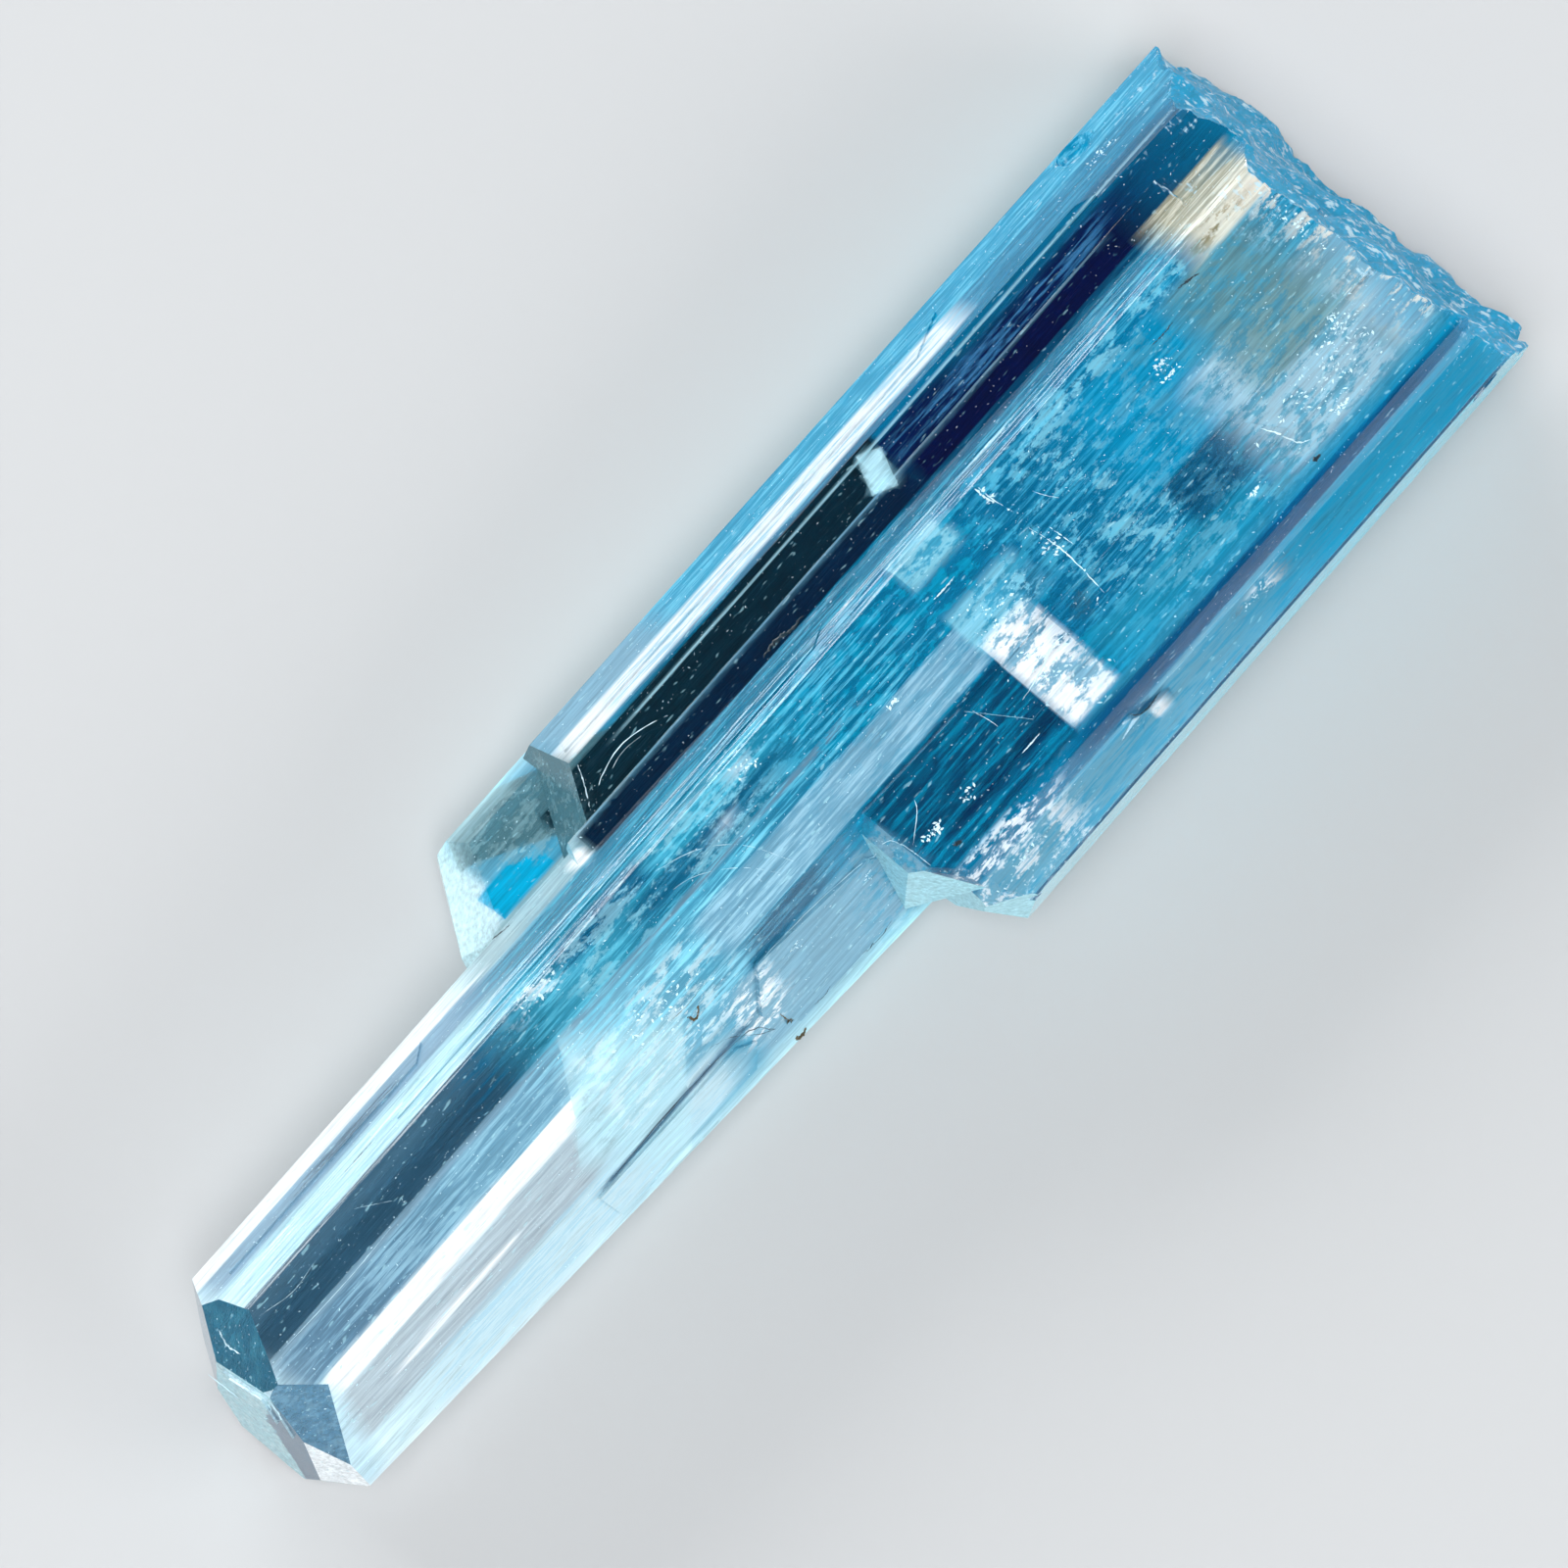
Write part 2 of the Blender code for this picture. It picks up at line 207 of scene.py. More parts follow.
# ---- the crystal ------------------------------------------------------------------------
CUT_REACH = 1e-8  # a corner nearer to a cut than this lies on it
FRONT_FACING = 0.05  # faces whose normal has more than this of +Z are painted as front faces
CRISP = 0.12  # zone edges softer than this, in millimetres, have a cut along them


def cut_plane(bm, faces, normal, place):
    """Cuts those faces where they cross the plane at that place along its normal."""
    geometry = set(faces)
    for face in faces:
        geometry.update(face.verts)
        geometry.update(face.edges)
    bmesh.ops.bisect_plane(
        bm, geom=list(geometry), dist=CUT_REACH, plane_co=normal * place, plane_no=normal
    )


def front_faces_near(bm, centre, reach):
    """Front faces that come within that reach of the centre, along X and along Y."""
    near = [face for face in bm.faces if face.normal.z > FRONT_FACING]
    for axis in (0, 1):
        low, high = (centre[axis] - reach) * MM, (centre[axis] + reach) * MM
        near = [
            face for face in near
            if min(vert.co[axis] for vert in face.verts) < high
            and max(vert.co[axis] for vert in face.verts) > low
        ]
    return near


def cut_zone_edges(bm):
    """Cuts the front faces along the edges of each turned zone, so that its edges are crisp."""
    margin = 0.2
    for zone in ZONES.values():
        if not zone.turn:
            continue
        centre, half, axes = zone.frame()
        reach = math.hypot(*half) + margin
        for axis in (0, 1):
            normal = Vector((*axes[axis], 0.0))
            for side in (-1, 1):
                place = (np.dot(centre, axes[axis]) + side * half[axis]) * MM
                cut_plane(bm, front_faces_near(bm, centre, reach), normal, place)


def cut_into_strips(bm, settings, rng):
    """Cuts every face along growth lines. Planes of constant Y and of constant Z meet each
    prism face in lines along X, and planes of constant X part the lines into segments. Some
    of the planes lie on the edges of the colour zones."""
    low, high = CAD_BOX
    clear = 0.1 * MM  # of the box's sides
    break_reach = 7.0 * MM  # how far the fracture's slopes reach back along X
    gap, segment = settings.stria_gap, settings.segment
    straight = [zone for zone in ZONES.values() if not zone.turn]
    edges_y = [side * MM for zone in straight for side in zone.y if zone.soft[1] < CRISP]
    edges_x = [side * MM for zone in straight for side in zone.x if zone.soft[0] < CRISP]
    cuts_y = blend_cuts(uneven_cuts(low.y + clear, high.y - clear, gap, rng), edges_y)
    cuts_z = uneven_cuts(low.z + clear, high.z - clear, gap, rng)
    cuts_x = uneven_cuts(low.x + clear, high.x - break_reach, segment, rng)
    cuts_x = blend_cuts(cuts_x, edges_x)
    for normal, places in (((0, 1, 0), cuts_y), ((0, 0, 1), cuts_z), ((1, 0, 0), cuts_x)):
        for place in places:
            cut_plane(bm, bm.faces[:], Vector(normal), place)


def blend_cuts(spread, edges, least=0.04 * MM):
    """Both lists in one, without the spread places that lie too near an edge."""
    hundredth = 5  # decimals of a metre that tell hundredths of a millimetre apart
    edges = np.unique(np.round(np.array(edges), hundredth))
    kept = [place for place in spread if np.min(np.abs(edges - place)) > least]
    return sorted([*kept, *edges])


def face_arrays(mesh):
    """Corner indices, unit normals and places of a triangle mesh, as arrays."""
    corners = np.empty(len(mesh.loops), np.int32)
    mesh.loops.foreach_get("vertex_index", corners)
    normals = np.empty(len(mesh.polygons) * 3, np.float32)
    mesh.polygons.foreach_get("normal", normals)
    places = np.empty(len(mesh.vertices) * 3, np.float32)
    mesh.vertices.foreach_get("co", places)
    return corners.reshape(-1, 3), normals.reshape(-1, 3), places.reshape(-1, 3).astype(float)


def striation_height(places, normals, settings, rng):
    """Height of the growth lines over a prism face, in metres.

    It is a random value for each growth line, read at the distance across the face, times a
    slow random value that changes along X, so that a line fades in and out.
    """
    face_step = 7.0 * MM  # sets the lines of two faces apart
    turns_told_apart = 6  # for each radian that a face turns about X
    bundle, bundle_step = 0.9 * MM, 37.0  # lines this near fade together
    gap, reach = 0.9 * settings.stria_gap, 1.7 * settings.segment
    turn = np.round(np.arctan2(normals[:, 2], normals[:, 1]) * turns_told_apart)
    across = places[:, 2] * normals[:, 1] - places[:, 1] * normals[:, 2] + face_step * turn
    lines = rng.uniform(-1.0, 1.0, 601)
    fades = rng.uniform(0.1, 1.0, 401)
    line = smooth_noise(lines, across / gap)
    fade = smooth_noise(fades, places[:, 0] / reach + np.floor(across / bundle) * bundle_step)
    return settings.stria_depth * line * fade


# The fracture's relief: size of a hackle in millimetres, share of the relief, and steps.
HACKLES = ((1.6, 0.5, 3.0), (0.75, 0.35, 2.0), (0.3, 0.25, 0.0))
HACKLE_SQUASH = 0.6  # height of a hackle over its width
STEPPED = 0.7  # how far a hackle with steps is flat between them


def fracture_depth(places, settings, rng):
    """How far the fracture's fine steps reach along X: three layers of lattice noise in Y
    and Z, where the coarser layers are rounded to steps, as conchoidal hackles are."""
    entries = 90
    depth = np.zeros(len(places))
    for size, share, steps in HACKLES:
        table = rng.uniform(-1.0, 1.0, (entries, entries))
        row = (places[:, 1] / (size * MM)) % (entries - 2)
        column = (places[:, 2] / (size * HACKLE_SQUASH * MM)) % (entries - 2)
        value = lattice_noise(table, row, column)
        if steps:
            value = STEPPED * np.round(value * steps) / steps + (1 - STEPPED) * value
        depth += share * value
    return settings.break_relief * depth


FLAT = 0.99999  # mean of the unit normals round a vertex that lies inside a flat face
PRISM_LEAN = 0.12  # part of X in a prism face's normal, at most
UNDERSIDE = -0.98  # part of Z in the normal of the face that it rests on, at most
BREAK_LEAN = 0.45  # part of X in a fracture face's normal, at least
BREAK_REACH = 9.0 * MM  # the fracture's faces lie this near to the far end


def raise_relief(mesh, settings, rng):
    """Moves the vertices inside each flat face to the growth lines' height, and those on the
    fracture along X. Vertices on a crystal edge stay, so every edge stays straight."""
    corners, normals, places = face_arrays(mesh)
    total = np.zeros((len(places), 3))
    count = np.zeros(len(places))
    for corner in corners.T:
        np.add.at(total, corner, normals)
        np.add.at(count, corner, 1.0)
    flatness = np.linalg.norm(total, axis=1) / np.maximum(count, 1.0)
    mean = unit_rows(total)
    on_prism = (np.abs(mean[:, 0]) < PRISM_LEAN) & (mean[:, 2] > UNDERSIDE)
    height = striation_height(places, mean, settings, rng)
    moved = places + mean * np.where((flatness > FLAT) & on_prism, height, 0.0)[:, None]

    face_x = places[corners].mean(axis=1)[:, 0]
    broken_face = (normals[:, 0] > BREAK_LEAN) & (face_x > BREAK_X - BREAK_REACH)
    on_break = np.zeros(len(places), bool)
    on_break[corners[broken_face].ravel()] = True
    moved[on_break, 0] += fracture_depth(places, settings, rng)[on_break]
    moved[:, 0] = np.minimum(moved[:, 0], BREAK_X)
    mesh.vertices.foreach_set("co", moved.astype(np.float32).ravel())

    paint_colours(mesh, corners, normals, places, broken_face, settings)
    frost = mesh.attributes.new(FROST, "FLOAT", "POINT")
    frost.data.foreach_set("value", on_break.astype(np.float32))
    mesh.update()


# ---- colour of the crystal, with painted light and shade --------------------------------
# How a colour zone shows: evenly, or broken by the growth streaks or by the clouds. The mesh
# holds one attribute for each, and one that is 1 on the frosted fracture.
EVEN, STREAKY, CLOUDY = "even_zones", "streaky_zones", "cloudy_zones"
FROST = "frost"


class Zone(NamedTuple):
    """A colour zone of the front faces, in millimetres."""

    x: tuple  # from, to
    y: tuple  # from, to
    colour: tuple
    strength: float = 1.0
    soft: tuple = (0.4, 0.02)  # width of the fade along X and along Y
    kind: str = EVEN
    turn: float = 0.0  # degrees about Z

    def frame(self):
        """Centre, half sizes, and the two unit axes in X and Y."""
        turn = math.radians(self.turn)
        axes = np.array([[math.cos(turn), math.sin(turn)], [-math.sin(turn), math.cos(turn)]])
        centre = np.array([sum(self.x) / 2, sum(self.y) / 2])
        half = np.array([self.x[1] - self.x[0], self.y[1] - self.y[0]]) / 2
        return centre, half, axes

    def cover(self, x, y):
        """Strength inside the rectangle, falling to nothing across its soft edges."""
        centre, half, axes = self.frame()
        share = np.full(len(x), self.strength)
        for axis, extent, soft in zip(axes, half, self.soft):
            reach = np.abs((x - centre[0]) * axis[0] + (y - centre[1]) * axis[1])
            rise = np.clip(0.5 + (extent - reach) / soft, 0.0, 1.0)
            share = share * rise * rise * (3 - 2 * rise)
        return share


WHITE = (0.92, 0.97, 1.0)
ICE = (0.66, 0.87, 0.94)
PALE = (0.46, 0.76, 0.88)
STEEL = (0.23, 0.50, 0.68)
SLATE = (0.060, 0.145, 0.235)
DEEP_SLATE = (0.018, 0.075, 0.145)
DEEP = (0.0, 0.085, 0.21)
NAVY = (0.0, 0.0015, 0.055)
TEAL_BLACK = (0.001, 0.022, 0.034)

ZONES = {
    # the tip half, from the left edge to the right one
    # left rim: a painted highlight along the rim
    "left rim": Zone((-33.6, -15.5), (4.86, 6.4), WHITE, 0.92, (0.6, 0.02)),
    # left flank: painted shade along the flank
    "left flank": Zone((-33.3, -16.0), (4.02, 4.86), (0.27, 0.46, 0.64), 0.85, (1.5, 0.10)),
    "left flank lines": Zone((-28.4, -21.8), (4.30, 4.66), SLATE, 0.9, (1.5, 0.1), STREAKY),
    # left bevel: painted light on the bevel
    "left bevel": Zone((-33.2, -16.4), (2.78, 4.02), PALE, 0.9, (3.0, 0.02)),
    "slate pane": Zone((-34.6, -15.5), (0.60, 2.78), SLATE, 0.95, (2.0, 0.02)),
    "slate depth": Zone((-34.6, -17.0), (0.50, 1.95), DEEP_SLATE, 0.75, (2.0, 0.9)),
    "slate tail": Zone((-21.0, -13.0), (0.60, 2.70), (0.0, 0.115, 0.25), 0.9, (3.0, 0.3), STREAKY),
    "ridge": Zone((-34.6, 1.0), (0.32, 0.60), (0.24, 0.40, 0.54), 0.8, (3.0, 0.02)),
    "blue pane": Zone((-34.4, -16.8), (-1.46, 0.32), (0.135, 0.28, 0.44), 0.9, (2.0, 0.02)),
    "blue pane fade": Zone((-26.0, -15.0), (-1.46, 0.32), STEEL, 0.8, (8.0, 0.2)),
    "blue pane streaks": Zone((-34.0, -16.0), (-1.46, 0.32), PALE, 0.35, (2.0, 0.1), STREAKY),
    "white band": Zone((-33.5, -17.4), (-2.36, -1.46), WHITE, 0.97, (0.4, 0.02)),
    "grey band": Zone((-33.5, -18.2), (-4.05, -2.36), (0.50, 0.575, 0.63), 0.85, (0.6, 0.10)),
    "grey band line": Zone((-30.4, -23.5), (-3.36, -3.16), WHITE, 0.9, (1.5, 0.08)),
    "right flank": Zone((-33.5, -12.0), (-5.60, -4.05), ICE, 0.85, (1.0, 0.25)),
    "right flank streaks": Zone(
        (-30.0, -12.0), (-5.5, -3.9), (0.30, 0.55, 0.70), 0.6, (2.0, 0.2), STREAKY
    ),
    # where the two halves meet
    "toe white": Zone((-17.2, -12.4), (5.0, 9.8), ICE, 0.9, (0.6, 0.05)),
    "toe cyan": Zone((-13.0, -9.8), (5.96, 7.4), (0.0, 0.50, 0.84), 1.0, (0.02, 0.02)),
    "toe step": Zone((-16.5, -8.2), (4.72, 5.96), (0.42, 0.62, 0.68), 0.9, (0.4, 0.02)),
    "toe spot": Zone((-10.1, -9.3), (4.78, 5.34), WHITE, 1.0, (0.3, 0.25)),
    "toe front": Zone(
        (-12.3, -5.0), (6.75, 9.6), (0.115, 0.255, 0.30), 1.0, (0.02, 0.02), EVEN, -29.0
    ),
    "toe front mist": Zone(
        (-12.0, -7.0), (6.4, 9.6), (0.30, 0.50, 0.55), 0.6, (0.6, 0.5), CLOUDY, -29.0
    ),
    "main bevel": Zone((-16.5, 30.0), (3.36, 4.60), (0.0, 0.27, 0.47), 0.8, (5.0, 0.04)),
    "main bevel lines": Zone(
        (-16.5, 30.0), (3.36, 4.60), (0.10, 0.54, 0.74), 0.7, (4.0, 0.04), STREAKY
    ),
    "middle ground": Zone((-18.0, -1.0), (0.60, 3.36), (0.02, 0.38, 0.58), 0.8, (5.0, 0.1)),
    "middle streaks": Zone(
        (-18.0, 6.0), (-0.4, 3.36), (0.16, 0.66, 0.86), 0.55, (4.0, 0.2), STREAKY
    ),
    "deep patch 1": Zone((-14.2, -8.9), (2.05, 3.1), (0.0, 0.135, 0.30), 0.95, (1.4, 0.25)),
    "deep patch 2": Zone((-11.2, -1.5), (0.66, 1.85), (0.0, 0.145, 0.31), 0.85, (3.0, 0.35)),
    "deep patch flecks": Zone(
        (-15.0, -1.0), (0.60, 3.0), (0.45, 0.84, 0.95), 0.45, (2.0, 0.2), CLOUDY
    ),
    "middle cloud": Zone((-17.0, -14.2), (1.9, 3.0), WHITE, 0.8, (1.2, 0.6), CLOUDY),
    "front cloud": Zone((-3.5, -2.0), (1.8, 3.1), WHITE, 0.95, (0.5, 0.5), CLOUDY),
    "front spot": Zone((-5.4, -4.9), (1.0, 1.5), WHITE, 1.0, (0.3, 0.3)),
    "pale streaks": Zone(
        (-17.0, -4.4), (-3.2, -0.1), (0.26, 0.70, 0.88), 0.85, (3.0, 0.4), STREAKY
    ),
    "diagonal patch": Zone(
        (-18.7, -13.5), (-5.3, -0.6), (0.50, 0.80, 0.90), 0.85, (0.06, 1.2), EVEN, -37.0
    ),
    "diagonal mist": Zone((-17.5, -9.5), (-3.9, -0.5), ICE, 0.75, (1.5, 0.6), CLOUDY),
    "speckled band": Zone((-8.9, -4.2), (-3.35, -2.5), (0.02, 0.15, 0.29), 0.85, (1.0, 0.2)),
    "plate face": Zone((-10.4, -1.2), (-6.6, -3.36), (0.28, 0.53, 0.68), 0.9, (0.5, 0.10)),
    "plate wedge": Zone((-10.6, -8.2), (-5.2, -3.5), WHITE, 0.85, (0.8, 0.4), CLOUDY),
    "slit": Zone((-19.3, -10.2), (-4.52, -4.36), DEEP, 0.9, (1.5, 0.04)),
    "bevel foot": Zone((9.7, 26.0), (4.15, 4.75), (0.0, 0.075, 0.19), 0.85, (2.5, 0.08)),
    # the left prism
    "outer steel": Zone((-7.0, 2.0), (8.80, 10.2), (0.26, 0.50, 0.66), 0.9, (1.5, 0.1)),
    "outer cyan": Zone((0.5, 33.0), (8.80, 10.2), (0.0, 0.44, 0.74), 0.95, (3.0, 0.1)),
    "outer streaks": Zone((0.5, 33.0), (7.8, 10.2), (0.22, 0.68, 0.84), 0.5, (3.0, 0.1), STREAKY),
    "outer lower": Zone((16.0, 31.0), (7.64, 8.80), (0.0, 0.33, 0.58), 0.8, (5.0, 0.1)),
    "white band outer": Zone((-6.8, 18.5), (7.96, 8.86), WHITE, 0.92, (2.0, 0.12)),
    "white band gaps": Zone(
        (-4.0, 19.0), (7.96, 8.86), (0.10, 0.45, 0.66), 0.6, (2.0, 0.1), STREAKY
    ),
    # dark pane, dark strip, navy pane and navy strip: partly the crystal's own deep-blue zone,
    # partly painted shade, the darkness seen through the clear prism
    "dark pane": Zone((-8.8, 11.6), (5.80, 7.66), TEAL_BLACK, 1.0, (0.04, 0.02)),
    "dark strip": Zone((-9.1, 11.4), (4.62, 5.72), (0.0, 0.016, 0.055), 1.0, (0.06, 0.02)),
    "navy pane": Zone((11.4, 29.5), (5.80, 7.2), (0.0, 0.008, 0.10), 1.0, (0.5, 0.10)),
    "navy strip": Zone((11.2, 29.0), (4.62, 5.84), NAVY, 1.0, (1.5, 0.06)),
    "navy lines": Zone((11.8, 25.0), (5.9, 7.0), (0.08, 0.30, 0.58), 0.75, (2.5, 0.1), STREAKY),
    "top teal": Zone((16.0, 31.0), (6.9, 7.66), (0.0, 0.19, 0.37), 0.9, (4.0, 0.3)),
    "root teal": Zone((26.5, 32.0), (4.8, 7.3), (0.0, 0.15, 0.31), 0.9, (4.0, 0.5)),
    "pane line": Zone((-4.8, 30.5), (7.22, 7.32), PALE, 0.85, (1.5, 0.02)),
    "rail line": Zone((-9.0, 24.0), (5.72, 5.80), (0.36, 0.62, 0.78), 0.9, (1.5, 0.02)),
    "window": Zone((10.1, 11.25), (5.55, 7.35), (0.50, 0.82, 0.93), 1.0, (0.04, 0.04), EVEN, -27.0),
    # the front of the thick half
    "front dapple": Zone((-3.0, 30.0), (-7.0, 3.36), (0.0, 0.42, 0.68), 0.75, (4.0, 0.3), CLOUDY),
    "grey front band": Zone((-9.6, 7.1), (-2.42, -0.42), (0.25, 0.52, 0.70), 0.92, (1.5, 0.04)),
    "grey band streaks": Zone(
        (-9.6, 7.1), (-2.42, -0.36), (0.46, 0.68, 0.80), 0.45, (1.5, 0.1), STREAKY
    ),
    "teal pane": Zone((-1.3, 7.14), (-6.9, -2.5), DEEP, 0.97, (0.06, 0.15)),
    "teal pane streaks": Zone(
        (-1.3, 7.1), (-6.9, -2.5), (0.0, 0.28, 0.48), 0.8, (0.5, 0.2), STREAKY
    ),
    "navy foot": Zone((0.3, 7.14), (-6.05, -5.62), NAVY, 0.95, (0.8, 0.10)),
    # the glow zones: a painted glow over the cleft, with darker holes in it
    "glow top": Zone((7.14, 10.2), (1.7, 3.34), (0.30, 0.70, 0.85), 0.85, (0.10, 0.5)),
    "glow middle": Zone((7.0, 10.8), (-2.1, 0.1), (0.27, 0.67, 0.84), 0.85, (0.25, 0.6)),
    "glow white": Zone((7.14, 9.95), (-6.75, -1.75), WHITE, 0.95, (0.08, 0.35)),
    "glow holes": Zone((7.3, 10.8), (-6.6, 3.3), (0.0, 0.36, 0.60), 0.65, (0.3, 0.3), CLOUDY),
    "dark patch a": Zone((10.0, 11.6), (-2.2, -0.8), (0.0, 0.13, 0.30), 0.6, (0.5, 0.4), CLOUDY),
    "dark patch b": Zone((9.9, 12.1), (-4.3, -2.9), (0.0, 0.085, 0.20), 0.85, (0.6, 0.5), CLOUDY),
    "front mist": Zone((11.0, 31.0), (-6.9, 3.3), (0.08, 0.52, 0.74), 0.5, (4.0, 1.0), STREAKY),
    "front clouds": Zone((13.0, 31.0), (-6.9, 3.0), (0.28, 0.68, 0.84), 0.8, (6.0, 1.2), CLOUDY),
    "right cyan": Zone((10.2, 20.0), (-6.8, -4.7), (0.02, 0.40, 0.62), 0.7, (2.5, 0.5)),
    "root cyan": Zone((16.5, 25.0), (-3.2, 2.0), (0.0, 0.37, 0.66), 0.85, (2.5, 0.8)),
    "root dark": Zone((17.0, 21.5), (-5.2, -3.0), (0.0, 0.11, 0.24), 0.9, (0.8, 0.5)),
    "root cloud": Zone((21.0, 30.4), (-6.8, -0.8), (0.46, 0.66, 0.76), 0.85, (2.5, 0.8)),
    "root green": Zone((23.4, 29.6), (-3.6, 2.1), (0.19, 0.37, 0.385), 0.85, (1.6, 0.7)),
    "root cloud holes": Zone(
        (20.0, 30.0), (-6.8, 2.0), (0.04, 0.34, 0.52), 0.6, (2.5, 0.8), CLOUDY
    ),
    "cream": Zone((25.5, 30.7), (2.0, 4.95), (0.52, 0.49, 0.34), 0.97, (0.9, 0.06)),
    "cream streaks": Zone((25.9, 30.7), (3.0, 4.95), (0.78, 0.76, 0.64), 0.85, (0.8, 0.1), STREAKY),
    "cream pale": Zone((26.4, 30.7), (1.95, 3.0), (0.80, 0.79, 0.68), 0.9, (0.9, 0.15)),
    "cream ochre": Zone((25.9, 27.8), (2.2, 3.0), (0.40, 0.31, 0.13), 0.9, (0.8, 0.4), CLOUDY),
    "cream lumps": Zone((28.8, 31.4), (-6.4, 2.8), (0.86, 0.80, 0.70), 0.9, (0.9, 0.5), CLOUDY),
    # the right prism
    "shoulder": Zone((8.0, 31.0), (-7.30, -6.75), (0.04, 0.34, 0.52), 0.7, (2.0, 0.1)),
    "dark stripe": Zone(
        (7.0, 30.5), (-8.05, -7.30), (0.0, 0.10, 0.27), 0.95, (2.5, 0.08), EVEN, -1.0
    ),
    "right face": Zone((-1.0, 33.0), (-9.92, -8.02), (0.25, 0.57, 0.74), 0.9, (1.0, 0.08)),
    "right face root": Zone((17.0, 34.0), (-9.92, -8.02), (0.0, 0.40, 0.66), 0.8, (9.0, 0.08)),
    "right face streaks": Zone(
        (0.0, 33.0), (-9.92, -8.02), (0.0, 0.34, 0.58), 0.6, (1.0, 0.1), STREAKY
    ),
    "right end": Zone((-1.6, 5.0), (-10.2, -7.0), WHITE, 0.85, (2.0, 0.4), CLOUDY),
    "right dark line": Zone((0.8, 31.0), (-10.0, -9.90), DEEP, 0.9, (1.0, 0.02)),
    "notch": Zone((9.3, 11.3), (-8.45, -8.12), DEEP, 0.9, (0.3, 0.08), EVEN, -14.0),
    # flare: a painted highlight beside the notch
    "flare": Zone((10.1, 10.8), (-9.0, -8.45), WHITE, 1.0, (0.3, 0.3)),
    "right spots": Zone((15.6, 17.8), (-9.0, -8.35), WHITE, 0.95, (0.4, 0.3), CLOUDY),
}

TIP_REACH = -33.0  # the tip's facets lie before this place along X
LEFT_REACH = -5.0  # and the left prism's one before this

# The end facets: normal, how far along X it may lie, and its colour. The colours are painted light
# and shade: each facet lighter or darker as the light falls on it.
FACETS = {
    "teal quad": ((-0.67, 0.37, 0.64), TIP_REACH, (0.006, 0.165, 0.29)),
    "blue facet": ((-0.64, -0.59, 0.49), TIP_REACH, (0.105, 0.29, 0.46)),
    "side sliver": ((-0.82, 0.57, -0.05), TIP_REACH, (0.085, 0.20, 0.32)),
    "low sliver": ((-0.82, 0.50, -0.29), TIP_REACH, (0.24, 0.46, 0.58)),
    "white facet": ((-0.87, -0.46, 0.15), TIP_REACH, WHITE),
    "foot facet": ((-0.82, -0.54, -0.20), TIP_REACH, ICE),
    "basal face": ((-1.0, 0.0, 0.0), TIP_REACH, (0.42, 0.78, 0.86)),
    "slanting facet": ((-0.79, 0.51, 0.34), LEFT_REACH, (0.115, 0.265, 0.31)),
}
SAME_FACET = 0.985  # cosine of the angle within which a face counts as that facet
BASAL = -0.98  # part of X in the basal face's normal, at most

# The slate corner of the basal face, a painted shade: right of a place along Y, and over a slanting
# line.
BASAL_SLATE = (0.075, 0.165, 0.29)
SLATE_RIGHT = -0.45
SLATE_LINE = (6.31, 1.7)  # height at Y = 0, and rise over Y

# Colour along the crystal, from tip to fracture: the share of the length, and the colour. It is
# partly the crystal's own colour zoning and partly painted light that makes the tip paler.
FRONT_RAMP = (
    (0.00, (0.58, 0.80, 0.90)), (0.22, (0.38, 0.68, 0.83)), (0.36, (0.10, 0.45, 0.66)),
    (0.50, (0.0, 0.25, 0.47)), (0.67, (0.0, 0.22, 0.44)), (0.84, (0.0, 0.28, 0.53)),
    (1.00, (0.0, 0.40, 0.68)),
)


def ramp_colour(ramp, share):
    """Colour of the ramp at each share, straight between its stops."""
    places = [place for place, _ in ramp]
    parts = np.array([stop for _, stop in ramp]).T
    return np.column_stack([np.interp(share, places, part) for part in parts])


def zone_layers(x, y, ground):
    """Colour and cover of the even, the streaky and the cloudy zones at each place. Zones lie
    over one another in their order. An even zone hides most of what lies under it."""
    hides = 0.8
    least = 1e-6
    layers = {EVEN: [ground, np.ones(len(x))]}
    for kind in (STREAKY, CLOUDY):
        layers[kind] = [np.zeros((len(x), 3)), np.zeros(len(x))]
    for zone in ZONES.values():
        cover = zone.cover(x, y)
        if zone.kind == EVEN:
            for kind in (STREAKY, CLOUDY):
                layers[kind][1] = layers[kind][1] * (1 - hides * cover)
        colour, below = layers[zone.kind]
        rest = below * (1 - cover)
        total = rest + cover
        mixed = colour * rest[:, None] + np.array(zone.colour) * cover[:, None]
        layers[zone.kind] = [mixed / np.maximum(total, least)[:, None], total]
    return layers


def facet_colours(places, normals):
    """Colour of the end facets at each place, painted light and shade, and which places lie on one.
    """
    colour = np.zeros(places.shape)
    on_facet = np.zeros(len(places), bool)
    for normal, far_x, tint in FACETS.values():
        unit = np.array(normal) / np.linalg.norm(normal)
        here = (normals @ unit > SAME_FACET) & (places[:, 0] < far_x)
        colour[here] = tint
        on_facet |= here
    _, y, z = places.T
    start, rise = SLATE_LINE
    slate = on_facet & (normals[:, 0] < BASAL) & (y < SLATE_RIGHT) & (z > start + rise * y)
    colour[slate] = BASAL_SLATE
    return colour, on_facet


